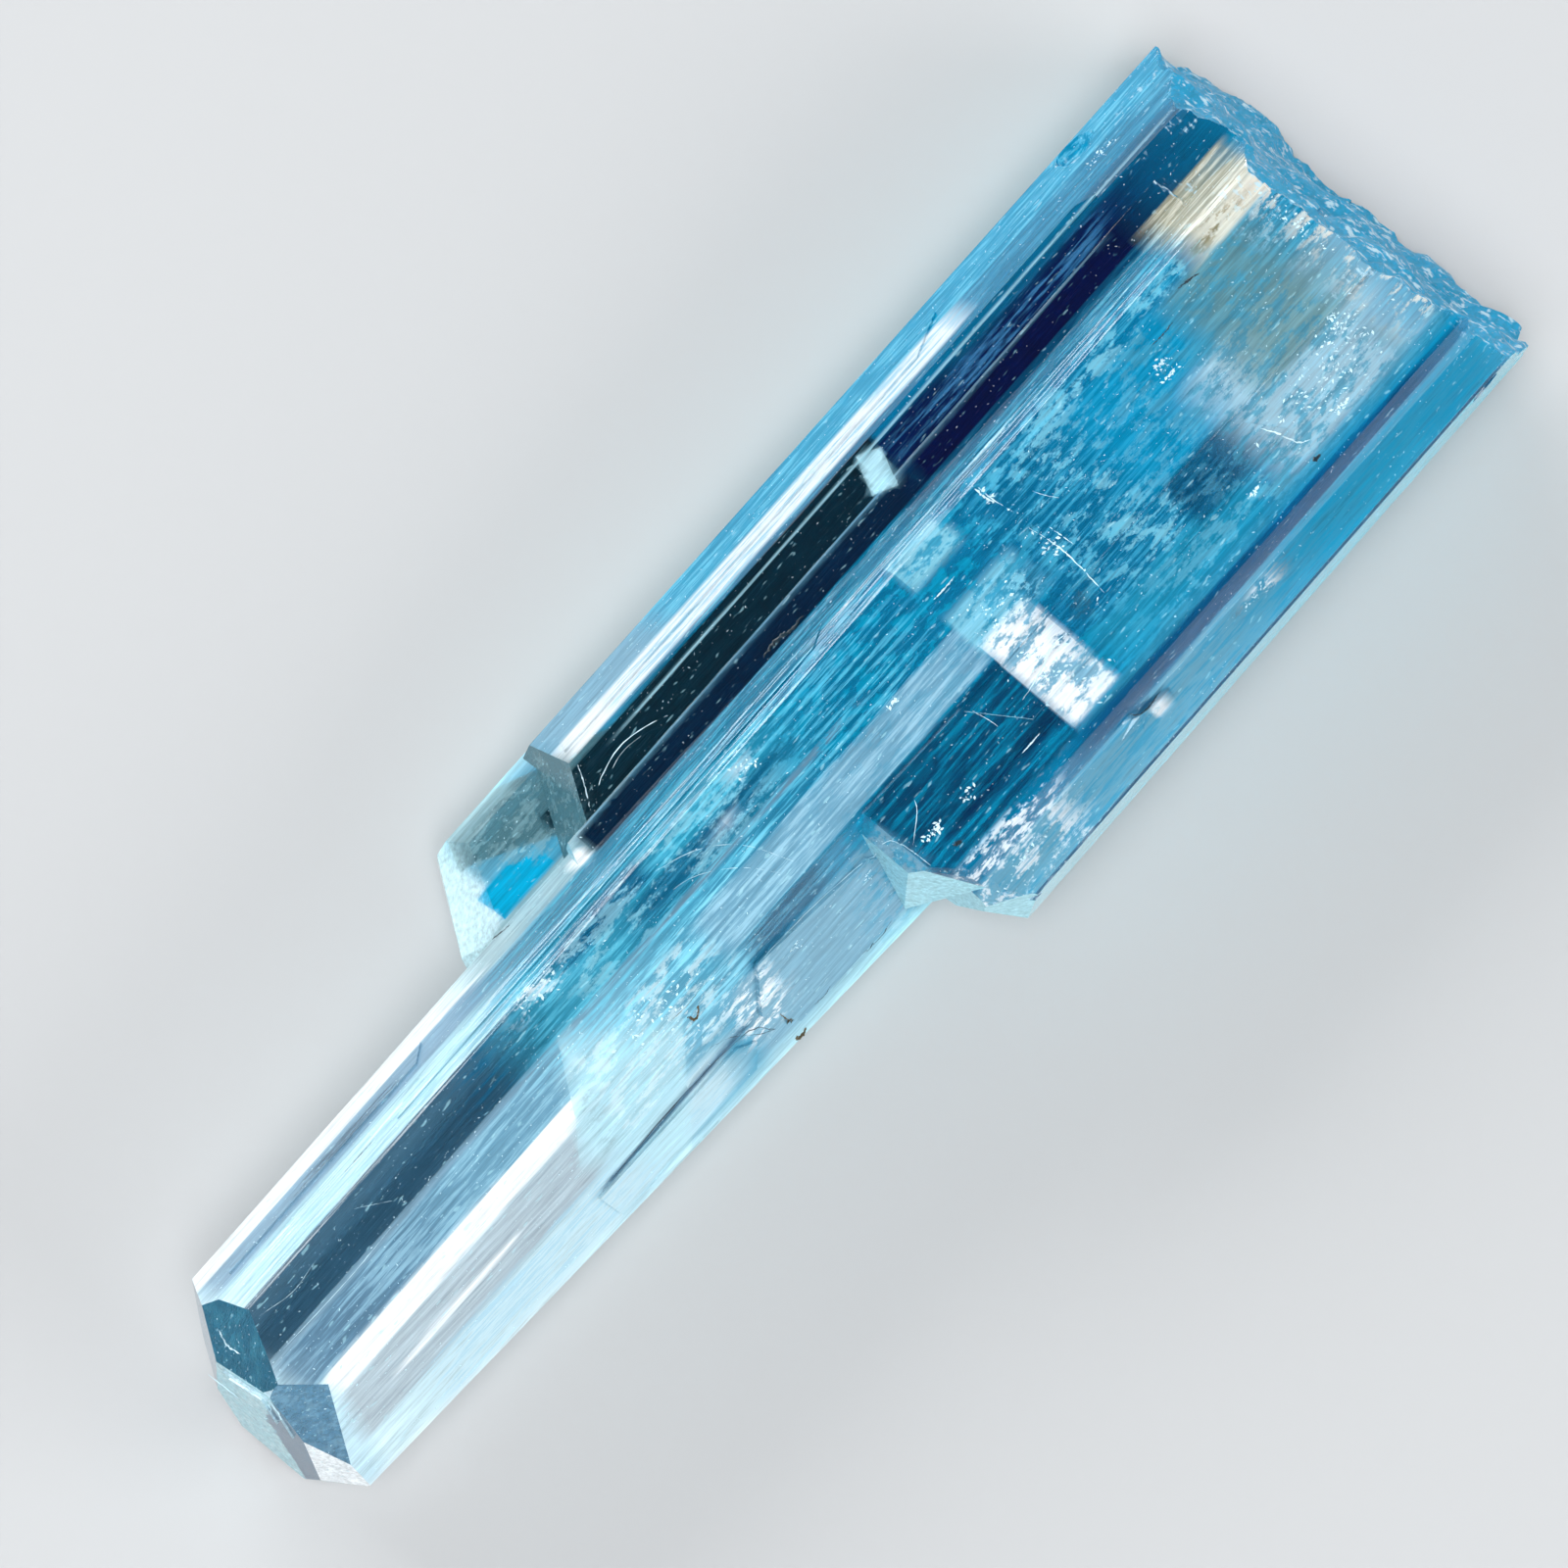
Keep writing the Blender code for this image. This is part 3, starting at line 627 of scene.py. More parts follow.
def paint_colours(mesh, corners, normals, places, broken, settings):
    """Writes the three layers of colour on the face corners. Each corner is read a little
    inside its face, so that a zone's edge is crisp where a cut lies on it."""
    near = 0.03
    front_start, front_fade = 3.0, 1.2  # height over which the back's colour gives way
    middle, root = 0.45, 0.8  # shares of the length where the back's colours lie
    at = places[corners]
    at = (at + near * (at.mean(axis=1, keepdims=True) - at)).reshape(-1, 3)
    facing = np.repeat(normals, 3, axis=0)
    x, y, z = (at / MM).T
    along = (at[:, 0] - TIP_X) / (BREAK_X - TIP_X)
    stops = ((0.0, settings.tip_tint), (middle, settings.middle_tint), (root, settings.root_tint))
    back = ramp_colour(stops, along)
    layers = zone_layers(x, y, ramp_colour(FRONT_RAMP, along))
    front = np.clip((z - front_start) / front_fade, 0.0, 1.0) * (facing[:, 2] > FRONT_FACING)
    facet, on_facet = facet_colours(at / MM, facing)
    broken = np.repeat(broken, 3)
    for kind, (colour, cover) in layers.items():
        if kind == EVEN:
            colour = colour * front[:, None] + back * (1 - front[:, None])
            colour[on_facet] = facet[on_facet]
            colour[broken] = settings.break_tint
        else:
            cover = cover * front
            cover[on_facet | broken] = 0.0
            if kind == CLOUDY:
                colour[on_facet] = facet[on_facet] ** settings.mist_power
                cover[on_facet] = settings.facet_mist
        values = np.column_stack([colour, cover]).astype(np.float32)
        layer = mesh.attributes.new(kind, "FLOAT_COLOR", "CORNER")
        layer.data.foreach_set("color", values.ravel())


class AQUAMARINE_OT_crystal(bpy.types.Operator):
    """Grow the striated, colour-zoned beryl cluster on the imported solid"""

    bl_idname = "aquamarine.crystal"
    bl_label = "Beryl cluster"

    def execute(self, context):
        settings = context.scene.aquamarine.crystal
        rng = np.random.default_rng(11)
        bm = bmesh.new()
        bm.from_mesh(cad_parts[NODE].data)
        bmesh.ops.remove_doubles(bm, verts=bm.verts[:], dist=WELD)
        cut_zone_edges(bm)
        cut_into_strips(bm, settings, rng)
        bmesh.ops.triangulate(bm, faces=bm.faces[:])
        mesh = bpy.data.meshes.new("beryl_cluster")
        bm.to_mesh(mesh)
        bm.free()
        raise_relief(mesh, settings, rng)
        mesh.materials.append(beryl_material())
        crystal = bpy.data.objects.new("beryl_cluster", mesh)
        context.scene.collection.objects.link(crystal)
        settle_piece(crystal)
        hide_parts(NODE)
        return {"FINISHED"}


# ---- where the surface is ---------------------------------------------------------------
OVER = 1.0 * MM  # rays start this far outside the box


def solid_tree():
    """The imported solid, ready for rays."""
    corners, _, places = face_arrays(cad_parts[NODE].data)
    return BVHTree.FromPolygons(places.tolist(), corners.tolist())


class Skin:
    """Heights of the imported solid's front and back over a grid in X and Y."""

    step = 0.2 * MM
    outside = -1.0

    def __init__(self):
        tree = solid_tree()
        low, high = CAD_BOX
        self.low = np.array([low.x, low.y]) - self.step
        self.shape = [int((high[axis] - low[axis]) / self.step) + 3 for axis in (0, 1)]
        self.front = self.cast(tree, high.z + OVER, -1.0)
        self.back = self.cast(tree, low.z - OVER, 1.0)

    def cast(self, tree, start, way):
        """Height where a vertical ray from start meets the solid, at each place of the grid."""
        found = np.full(self.shape, self.outside)
        ray = Vector((0.0, 0.0, way))
        for row in range(self.shape[0]):
            for column in range(self.shape[1]):
                x, y = self.low[0] + row * self.step, self.low[1] + column * self.step
                hit = tree.ray_cast(Vector((x, y, start)), ray)[0]
                if hit is not None:
                    found[row, column] = hit.z
        return found

    def read(self, grid, x, y, pick):
        """The pick, lowest or highest, of the four grid heights round each place."""
        row = np.clip((x - self.low[0]) / self.step, 0, self.shape[0] - 2).astype(int)
        column = np.clip((y - self.low[1]) / self.step, 0, self.shape[1] - 2).astype(int)
        around = [grid[row + i, column + j] for i in (0, 1) for j in (0, 1)]
        inside = np.min(around, axis=0) != self.outside
        return pick(around, axis=0), inside

    def sink(self, x, y, depth, clear=0.12 * MM):
        """Height of a point that lies that deep under the front, and whether it is inside."""
        front, inside = self.read(self.front, x, y, np.min)
        back, _ = self.read(self.back, x, y, np.max)
        height = front - depth
        return height, inside & (height > back + clear)


# ---- inclusions -------------------------------------------------------------------------
def spindles(name, places, along, lengths, widths, thicknesses, lean, material, sides=4):
    """Many small spindles in one mesh, each a ring of points between two poles.

    A point of the ring at angle v is the place, plus half the width times cos v across the
    spindle, plus half the thickness times sin v along its third axis. The poles are half a
    length away, along it. lean turns the ring about the spindle.
    """
    count = len(places)
    along = unit_rows(along)
    flat = np.cross(np.array([0.0, 0.0, 1.0]), along)
    flat = unit_rows(flat)
    third = np.cross(along, flat)
    across = flat * np.cos(lean)[:, None] + third * np.sin(lean)[:, None]
    third = np.cross(along, across)
    v = np.linspace(0.0, 2 * np.pi, sides, endpoint=False)[None, :, None]
    ends = np.array([-1.0, 1.0])[None, :, None]
    reach = 0.5 * (lengths[:, None] * along)[:, None]
    ring = (
        places[:, None] + 0.5 * (widths[:, None] * across)[:, None] * np.cos(v)
        + 0.5 * (thicknesses[:, None] * third)[:, None] * np.sin(v)
    )
    points = np.concatenate([ring, places[:, None] + reach * ends], axis=1).reshape(-1, 3)
    k = np.arange(sides)
    near = np.stack([np.roll(k, -1), k, np.full(sides, sides)], axis=1)
    far = np.stack([k, np.roll(k, -1), np.full(sides, sides + 1)], axis=1)
    pattern = np.concatenate([near, far])
    faces = (pattern[None] + (np.arange(count) * (sides + 2))[:, None, None]).reshape(-1, 3)
    return add_mesh(name, points, faces, material)


def add_mesh(name, points, faces, material):
    """A mesh object at the origin from arrays of points and of triangles or quads."""
    mesh = bpy.data.meshes.new(name)
    mesh.from_pydata(points.tolist(), [], faces if isinstance(faces, list) else faces.tolist())
    mesh.materials.append(material)
    mesh.update()
    obj = bpy.data.objects.new(name, mesh)
    bpy.context.scene.collection.objects.link(obj)
    return settle_piece(obj)


class Cloud(NamedTuple):
    """Small inclusions scattered in a box: millimetres, and depths under the front."""

    x: tuple
    y: tuple
    depth: tuple
    count: int
    length: tuple
    width: tuple
    turn: float = 0.0  # degrees about Z of the box's X side
    spread: float = 4.0  # degrees that a piece may turn away from the crystal axis
    clump: float = 2.5  # how strongly they gather


def clumped(count, clump, rng):
    """Places in the unit square, gathered where a lattice noise is high, and fewer near its
    sides."""
    spare, edge_power = 5, 0.7
    rows, columns = 11, 8
    table = rng.uniform(0.0, 1.0, (rows + 1, columns + 1))
    tries = rng.uniform(0.0, 1.0, (count * spare, 2))
    value = lattice_noise(table, tries[:, 0] * (rows - 0.01), tries[:, 1] * (columns - 0.01))
    edge = np.prod(np.sin(np.pi * tries) ** edge_power, axis=1)
    weight = value**clump * edge
    return tries[rng.choice(len(tries), count, replace=False, p=weight / weight.sum())]


def uneven(span, power, count, rng):
    """Lengths in metres between the span's two, in millimetres. A higher power gives more
    that are near the first of them."""
    share = rng.uniform(0.0, 1.0, count) ** power
    return (span[0] + share * (span[1] - span[0])) * MM


def add_cloud(name, cloud, skin, material, rng):
    """Scatters the cloud's pieces inside the crystal, as one mesh of spindles."""
    front_power, short_power = 1.5, 2.0
    slope = 0.05 * MM  # the front may fall this much from a piece's middle to its end
    steepest, lean_out = 1.4, 0.4  # angle in radians, and how much of it goes along Z
    flatness = 0.5
    count = cloud.count
    unit = clumped(count, cloud.clump, rng)
    centre = np.array([sum(cloud.x) / 2, sum(cloud.y) / 2])
    size = np.array([cloud.x[1] - cloud.x[0], cloud.y[1] - cloud.y[0]])
    turn = math.radians(cloud.turn)
    spin = np.array([[math.cos(turn), -math.sin(turn)], [math.sin(turn), math.cos(turn)]])
    flat = (centre + ((unit - 0.5) * size) @ spin.T) * MM
    depth = uneven(cloud.depth, front_power, count, rng)
    length = uneven(cloud.length, short_power, count, rng)
    width = rng.uniform(*cloud.width, count) * MM
    height, inside = skin.sink(flat[:, 0], flat[:, 1], depth)
    for end in (-0.5, 0.5):
        end_height, end_inside = skin.sink(flat[:, 0] + end * length, flat[:, 1], depth)
        inside &= end_inside & (end_height > height - slope)
    away = np.radians(rng.normal(0.0, cloud.spread, (count, 2)))
    away = np.tan(np.clip(away, -steepest, steepest)) * (1.0, lean_out)
    along = np.column_stack([np.ones(count), away])
    lean = rng.uniform(0.0, np.pi, count)
    places = np.column_stack([flat, height])
    pieces = (places, along, length, width, width * flatness, lean)
    return spindles(name, *(part[inside] for part in pieces), material)


CLOUDS = {
    "silk_tip": Cloud((-34.0, -8.0), (-5.0, 5.0), (0.2, 6.0), 1300, (0.15, 2.6), (0.015, 0.04)),
    "silk_body": Cloud((-8.0, 31.0), (-9.5, 9.5), (0.2, 6.0), 2200, (0.15, 3.4), (0.015, 0.05)),
    "streaks_middle": Cloud(
        (-17.0, 0.0), (-0.2, 3.4), (0.15, 1.2), 1500, (0.08, 0.9), (0.02, 0.07), 0, 12
    ),
    "diagonal_veil": Cloud(
        (-20.5, -9.5), (-3.4, -0.2), (0.15, 1.0), 1700, (0.05, 0.5), (0.03, 0.09), 12, 40
    ),
    "tip_frost": Cloud(
        (-33.0, -17.0), (-4.6, -1.4), (0.2, 2.5), 1200, (0.05, 0.4), (0.02, 0.06), 0, 40
    ),
    "cleft_patch": Cloud(
        (6.9, 10.6), (-6.9, -1.6), (0.12, 1.6), 1300, (0.06, 0.5), (0.04, 0.14), 0, 50, 3.5
    ),
    "body_clouds": Cloud(
        (9.0, 30.5), (-7.0, 3.0), (0.15, 2.0), 2600, (0.05, 0.6), (0.02, 0.08), 0, 25, 4.0
    ),
    "root_cloud": Cloud(
        (20.5, 30.5), (-7.2, 0.5), (0.12, 1.8), 1700, (0.05, 0.35), (0.03, 0.10), 0, 60, 2.0
    ),
    "left_bevel_band": Cloud(
        (-6.5, 19.0), (7.9, 9.3), (0.1, 0.8), 1500, (0.08, 0.9), (0.02, 0.08), 0, 10, 1.5
    ),
    "right_prism_cloud": Cloud(
        (0.0, 31.0), (-9.9, -7.6), (0.15, 1.5), 1500, (0.06, 0.8), (0.02, 0.08), 0, 20, 3.0
    ),
}


class AQUAMARINE_OT_clouds(bpy.types.Operator):
    """Scatter growth tubes, silk and healed-fracture flakes inside the crystal"""

    bl_idname = "aquamarine.clouds"
    bl_label = "Silk and clouds"

    def execute(self, context):
        skin = Skin()
        material = flake_material("fluid_flakes", (0.86, 0.96, 1.0))
        for number, (name, cloud) in enumerate(CLOUDS.items()):
            add_cloud(name, cloud, skin, material, np.random.default_rng(100 + number))
        return {"FINISHED"}


# ---- marks on the surface ---------------------------------------------------------------
class Mark(NamedTuple):
    """A scratch, healed crack, speck or painted highlight line: places it passes through, in
    millimetres.
    """

    points: tuple  # (x, y) on the front, or (x, y, z)
    width: float


PALE_MARKS = {
    "outer crescent": Mark(
        ((-7.65, 5.9), (-6.6, 6.55), (-5.0, 6.85), (-3.4, 6.5), (-2.3, 5.95)), 0.062
    ),
    "inner crescent": Mark(
        ((-6.9, 5.9), (-6.0, 6.45), (-5.0, 6.62), (-3.9, 6.4), (-3.0, 5.95)), 0.031
    ),
    # facet edge and facet second edge: painted highlights along the slanting facet's edge
    "facet edge": Mark(((-6.75, 7.65), (-7.2, 6.9), (-7.9, 5.95)), 0.074),
    "facet second edge": Mark(((-7.1, 6.6), (-7.4, 6.1), (-7.6, 5.9)), 0.037),
    "tip curve": Mark(((-34.55, 3.05, 9.05), (-34.75, 2.4, 8.75), (-34.72, 1.75, 8.95)), 0.099),
    # terrace side, inner and edge: painted highlights along the basal face's terrace edges
    "terrace side": Mark(((-35.48, -0.35, 6.0), (-35.5, -1.12, 8.1), (-35.5, -0.50, 9.3)), 0.087),
    "terrace inner": Mark(((-35.48, 0.10, 6.6), (-35.5, -0.60, 8.2), (-35.5, 0.05, 9.2)), 0.050),
    "terrace edge": Mark(((-35.42, 2.6, 5.2), (-35.42, 0.9, 5.5), (-35.42, -0.4, 5.9)), 0.074),
    "healed crack top": Mark(((12.3, 3.2), (12.25, 2.0), (12.4, 0.9)), 0.062),
    "healed crack heart": Mark(((12.15, 2.9), (12.1, 2.3), (12.2, 1.8)), 0.136),
    "healed crack foot": Mark(((12.3, 0.0), (12.5, -1.4), (12.45, -2.7), (12.3, -4.0)), 0.087),
    "side crack": Mark(((12.9, -0.6), (12.95, -1.2), (13.0, -1.8)), 0.062),
    "bright crack": Mark(((6.6, -4.45), (8.1, -4.2), (9.2, -3.9), (10.0, -4.0)), 0.074),
    "upper dash": Mark(((7.4, 0.95), (8.2, 0.93), (8.7, 0.97)), 0.099),
    "short feather": Mark(((13.6, 0.9), (13.8, 0.4), (14.1, -0.1)), 0.043),
    "pane feather": Mark(((4.9, -3.2), (5.05, -3.9), (5.1, -4.4)), 0.043),
    # pane flash: a painted highlight
    "pane flash": Mark(((-1.0, -5.0), (0.2, -4.2), (0.6, -3.6)), 0.043),
    "foot dash": Mark(((4.9, -5.85), (5.4, -5.86), (6.0, -5.85)), 0.074),
    "feather arc 1": Mark(((-8.8, 2.1), (-7.0, 1.4), (-5.6, 0.1), (-4.7, -2.0)), 0.028),
    "feather arc 2": Mark(((-9.8, 1.2), (-8.0, 0.8), (-6.4, -0.4), (-5.4, -1.9)), 0.022),
    # plate edge and plate end: a painted highlight along the plate's upper edge
    "plate edge": Mark(((-8.7, -3.36), (-5.0, -3.50), (-1.8, -3.95), (-1.26, -4.7)), 0.062),
    "plate end": Mark(((-1.26, -4.7), (-1.2, -5.4), (-1.18, -6.1)), 0.050),
    "pane scratch 1": Mark(((-33.2, 2.1), (-31.6, 1.75), (-30.0, 1.9)), 0.022),
    "pane scratch 2": Mark(((-32.5, 1.2), (-30.5, 1.0), (-28.2, 1.35)), 0.019),
    "pane scratch 3": Mark(((-27.5, 2.2), (-26.3, 1.3), (-25.7, 0.8)), 0.019),
    "ridge scratch": Mark(((-33.6, 0.5), (-30.0, 0.42), (-27.0, 0.5)), 0.025),
    "root wisp": Mark(((21.9, -4.4), (22.2, -5.0), (22.5, -5.9), (22.9, -6.2)), 0.099),
}
# Clusters of pale flakes: centre x, centre y, reach along X, reach along Y, and how many.
FLAKE_CLUSTERS = (
    (21.2, 0.35, 0.55, 0.25, 50), (21.2, -0.15, 0.6, 0.12, 25), (27.6, -3.8, 0.9, 0.5, 61),
    (19.6, -5.9, 0.4, 0.15, 19), (24.9, -6.25, 0.5, 0.2, 22), (0.1, -5.25, 0.7, 0.22, 44),
    (2.1, -5.3, 0.35, 0.25, 22), (-2.6, -4.3, 0.3, 0.3, 16), (3.0, -0.55, 0.35, 0.15, 16),
    (27.6, 8.45, 0.8, 0.2, 33), (-7.0, -3.95, 0.5, 0.12, 16), (8.5, -4.5, 1.2, 1.8, 88),
    (8.6, -1.2, 1.2, 0.9, 38), (12.3, -1.2, 0.4, 1.6, 61), (12.3, 2.4, 0.35, 0.8, 33),
    (-3.0, 2.3, 0.6, 0.5, 33), (-15.6, 2.5, 1.3, 0.45, 50), (26.0, -5.0, 3.0, 1.4, 143),
    (2.0, -8.9, 1.8, 0.7, 66), (10.4, -8.7, 0.3, 0.2, 16), (16.7, -8.65, 1.0, 0.2, 25),
    (-13.0, -2.0, 2.6, 1.3, 121), (29.6, 0.0, 0.5, 2.2, 66), (-33.0, -3.0, 1.2, 1.2, 33),
)
DARK_MARKS = {
    "pane void": Mark(((1.6, 4.86), (2.6, 4.92), (3.2, 4.75), (4.0, 4.80)), 0.26),
    "slit foot": Mark(((-19.3, -4.44), (-15.0, -4.38), (-10.6, -4.60), (-9.3, -5.3)), 0.09),
    "slit head": Mark(((-12.2, -4.0), (-11.2, -4.3), (-10.0, -5.0), (-9.3, -5.3)), 0.05),
    "notch edge": Mark(((9.25, -7.95), (9.9, -8.35), (11.0, -8.3)), 0.09),
    "dot 1": Mark(((0.12, -6.25), (0.3, -6.32), (0.45, -6.36)), 0.24),
    "dot 2": Mark(((22.35, -6.88), (22.5, -6.9), (22.7, -6.92)), 0.22),
    "bevel line 1": Mark(((-28.4, 4.45), (-25.0, 4.50), (-21.8, 4.42)), 0.04),
    "bevel line 2": Mark(((-26.6, 3.45), (-25.5, 3.45), (-24.6, 3.44)), 0.05),
    "step dash": Mark(((-14.8, 5.75), (-14.0, 5.55), (-13.3, 5.45)), 0.12),
    "root dash 1": Mark(((24.2, 1.95), (24.8, 1.85), (25.3, 1.75)), 0.14),
    "root dash 2": Mark(((21.6, 1.2), (22.4, 1.15), (23.0, 1.2)), 0.09),
    "foot dashes": Mark(((-4.5, -5.9), (-3.4, -5.95), (-2.6, -5.9)), 0.05),
    "foot dashes 2": Mark(((-7.4, -5.8), (-6.8, -5.85), (-6.4, -5.8)), 0.05),
}
OLIVE_MARKS = {
    "olive stain": Mark(((-12.4, -2.7), (-12.05, -2.95), (-11.7, -2.7)), 0.22),
    "olive line": Mark(((-13.1, -2.35), (-12.2, -2.44), (-11.0, -2.38)), 0.05),
    "brown smear": Mark(((-8.9, -5.1), (-8.75, -5.4), (-8.5, -5.6)), 0.14),
    "brown spot": Mark(((-8.75, -6.02), (-8.45, -6.12), (-8.1, -6.08)), 0.26),
}


def smooth_path(points, count=24):
    """Places evenly spread in parameter along a Catmull-Rom curve through the points. Between
    points b and c, with a before and d after, the place at share t is half of 2b + (c - a) t
    + (2a - 5b + 4c - d) t squared + (3b - a - 3c + d) t cubed."""
    knots = np.vstack([2 * points[0] - points[1], points, 2 * points[-1] - points[-2]])
    at = np.linspace(0.0, len(points) - 1.000001, count)
    low = at.astype(int)
    t = (at - low)[:, None]
    a, b, c, d = (knots[low + i] for i in range(4))
    squared, cubed = 2 * a - 5 * b + 4 * c - d, 3 * b - a - 3 * c + d
    return 0.5 * (2 * b + (c - a) * t + squared * t**2 + cubed * t**3)


def mark_surface(path, width, rng, sides=6, flatness=0.3):
    """Points and quads of a flattened tube along a path.

    At share t of the path its half width is half the given one, times the root of
    sin(pi t), times an uneven share, and the ring's height is flatness times that.
    """
    count = len(path)
    end, thinnest = 0.02, 0.25
    along = unit_rows(np.gradient(path, axis=0))
    side = unit_rows(np.cross(np.array([0.0, 0.0, 1.0]), along))
    rise = np.cross(along, side)
    t = np.linspace(end, 1.0 - end, count)
    half = 0.5 * width * np.sqrt(np.sin(np.pi * t)) * rng.uniform(thinnest, 1.0, count)
    v = np.linspace(0.0, 2 * np.pi, sides, endpoint=False)
    ring = (
        path[:, None] + (half[:, None] * np.cos(v))[..., None] * side[:, None]
        + (flatness * half[:, None] * np.sin(v))[..., None] * rise[:, None]
    )
    k = np.arange(sides)
    after = np.roll(k, -1)
    row = np.arange(count - 1)[:, None] * sides
    quads = np.stack([row + k, row + after, row + sides + after, row + sides + k], axis=-1)
    caps = [k[::-1].tolist(), ((count - 1) * sides + k).tolist()]
    return ring.reshape(-1, 3), [*quads.reshape(-1, 4).tolist(), *caps]


def front_places(tree, flat, least=BOTTOM):
    """Places on the front over each (x, y), without those that miss it or lie under least."""
    down = Vector((0.0, 0.0, -1.0))
    hits = (tree.ray_cast(Vector((x, y, TOP + OVER)), down)[0] for x, y in flat)
    return np.array([tuple(hit) for hit in hits if hit is not None and hit.z > least])


def add_marks(name, marks, tree, material):
    """All marks of one table, as one mesh, half sunk in the surface and a little ragged."""
    ragged = 0.12  # of the mark's width
    points, faces = [], []
    rng = np.random.default_rng(5)
    for mark in marks.values():
        width = mark.width * MM
        path = smooth_path(np.array(mark.points) * MM)
        path += rng.normal(0.0, ragged, path.shape) * width
        if path.shape[1] == 2:
            path = front_places(tree, path)
        ring, quads = mark_surface(path, width, rng)
        first = sum(len(part) for part in points)
        points.append(ring)
        faces += [[first + index for index in quad] for quad in quads]
    return add_mesh(name, np.concatenate(points), faces, material)


def lying_along(places, sway, rng):
    """A direction near the crystal axis for each place, swayed by that much along each axis."""
    return np.array([1.0, 0.0, 0.0]) + rng.normal(0.0, 1.0, places.shape) * np.array(sway)


def add_dust(name, tree, count, material, rng):
    """Fine pale specks that lie on the front faces, thickest on the tip."""
    tip_power, short_power, flatness = 1.3, 4.0, 0.6
    low, high = CAD_BOX
    share = rng.uniform(0.0, 1.0, count) ** tip_power
    flat = np.column_stack([low.x + share * (high.x - low.x), rng.uniform(low.y, high.y, count)])
    places = front_places(tree, flat, 4.0 * MM)
    along = lying_along(places, (0.5, 0.9, 0.1), rng)
    length = uneven((0.035, 0.165), short_power, len(places), rng)
    width = rng.uniform(0.018, 0.045, len(places)) * MM
    lean = np.zeros(len(places))
    return spindles(name, places, along, length, width, width * flatness, lean, material)


def add_flakes(name, tree, material, rng):
    """Flat flakes that gather about each cluster's centre, lying on the front faces."""
    short_power, flatness, sides = 2.0, 0.16, 5
    flat = np.concatenate([
        rng.normal((x, y), (0.5 * reach_x, 0.5 * reach_y), (count, 2))
        for x, y, reach_x, reach_y, count in FLAKE_CLUSTERS
    ])
    places = front_places(tree, flat * MM)
    along = lying_along(places, (0.5, 0.8, 0.0), rng)
    length = uneven((0.05, 0.27), short_power, len(places), rng)
    width = length * rng.uniform(0.25, 0.7, len(places))
    lean = np.zeros(len(places))
    return spindles(name, places, along, length, width, width * flatness, lean, material, sides)


class AQUAMARINE_OT_marks(bpy.types.Operator):
    """Draw healed cracks, scratches, specks, dust and painted edge highlights on the faces"""

    bl_idname = "aquamarine.marks"
    bl_label = "Marks and dust"

    def execute(self, context):
        tree = solid_tree()
        # the pale material serves the healed cracks, flakes and dust, and the painted highlight
        # lines
        pale = flake_material("healed_crack", (0.62, 0.86, 0.96))
        add_marks("pale_marks", PALE_MARKS, tree, pale)
        add_marks("dark_marks", DARK_MARKS, tree, flake_material("dark_void", (0.002, 0.02, 0.035)))
        add_marks("olive_marks", OLIVE_MARKS, tree, flake_material("stain", (0.10, 0.075, 0.03)))
        add_flakes("flakes", tree, pale, np.random.default_rng(72))
        add_dust("dust", tree, 5000, pale, np.random.default_rng(71))
        return {"FINISHED"}


# ---- materials --------------------------------------------------------------------------
def add_node(tree, kind, inputs=None, **attributes):
    """A node with those attributes. A socket among the inputs is linked, a value is set."""
    node = tree.nodes.new(kind)
    for name, value in attributes.items():
        setattr(node, name, value)
    for name, value in (inputs or {}).items():
        if isinstance(value, bpy.types.NodeSocket):
            tree.links.new(value, node.inputs[name])
        else:
            node.inputs[name].default_value = value
    return node


def new_material(name):
    """A material with a bare Principled shader: returns it, its tree and the shader."""
    material = bpy.data.materials.new(name)
    material.use_nodes = True
    tree = material.node_tree
    return material, tree, tree.nodes["Principled BSDF"]


def multiply(tree, first, second):
    """Product of two numbers or sockets."""
    return add_node(tree, "ShaderNodeMath", {0: first, 1: second}, operation="MULTIPLY").outputs[0]


def mix_colour(tree, share, first, second):
    """Second over first by that share. Sockets 0, 6 and 7 are a colour mix's inputs."""
    node = add_node(tree, "ShaderNodeMix", data_type="RGBA")
    for index, value in ((0, share), (6, first), (7, second)):
        if isinstance(value, bpy.types.NodeSocket):
            tree.links.new(value, node.inputs[index])
        else:
            node.inputs[index].default_value = value
    return node.outputs[2]


def fade(tree, value, low, high):
    """Smooth step of a socket from 0 at low to 1 at high."""
    return add_node(
        tree, "ShaderNodeMapRange", {"Value": value, "From Min": low, "From Max": high},
        interpolation_type="SMOOTHSTEP",
    ).outputs["Result"]


def noise(tree, place, scale, detail=4.0, roughness=0.6):
    """Noise on a place in millimetres. The three scales are in waves per millimetre."""
    stretched = add_node(tree, "ShaderNodeMapping", {"Vector": place, "Scale": scale})
    node = add_node(
        tree, "ShaderNodeTexNoise",
        {"Vector": stretched.outputs[0], "Scale": 1.0, "Detail": detail, "Roughness": roughness},
    )
    return node.outputs


def place_in_mm(tree):
    """Object coordinates in millimetres."""
    place = add_node(tree, "ShaderNodeTexCoord").outputs["Object"]
    return add_node(
        tree, "ShaderNodeVectorMath", {0: place, "Scale": 1.0 / MM}, operation="SCALE"
    ).outputs[0]


def colour_layer(tree, name):
    """Colour and cover that the mesh holds under that name."""
    node = add_node(tree, "ShaderNodeAttribute", attribute_name=name)
    return node.outputs["Color"], node.outputs["Alpha"]


FLECK_COLOUR = (0.50, 0.86, 0.96, 1.0)
CHIP_COLOUR = (0.58, 0.82, 0.94, 1.0)


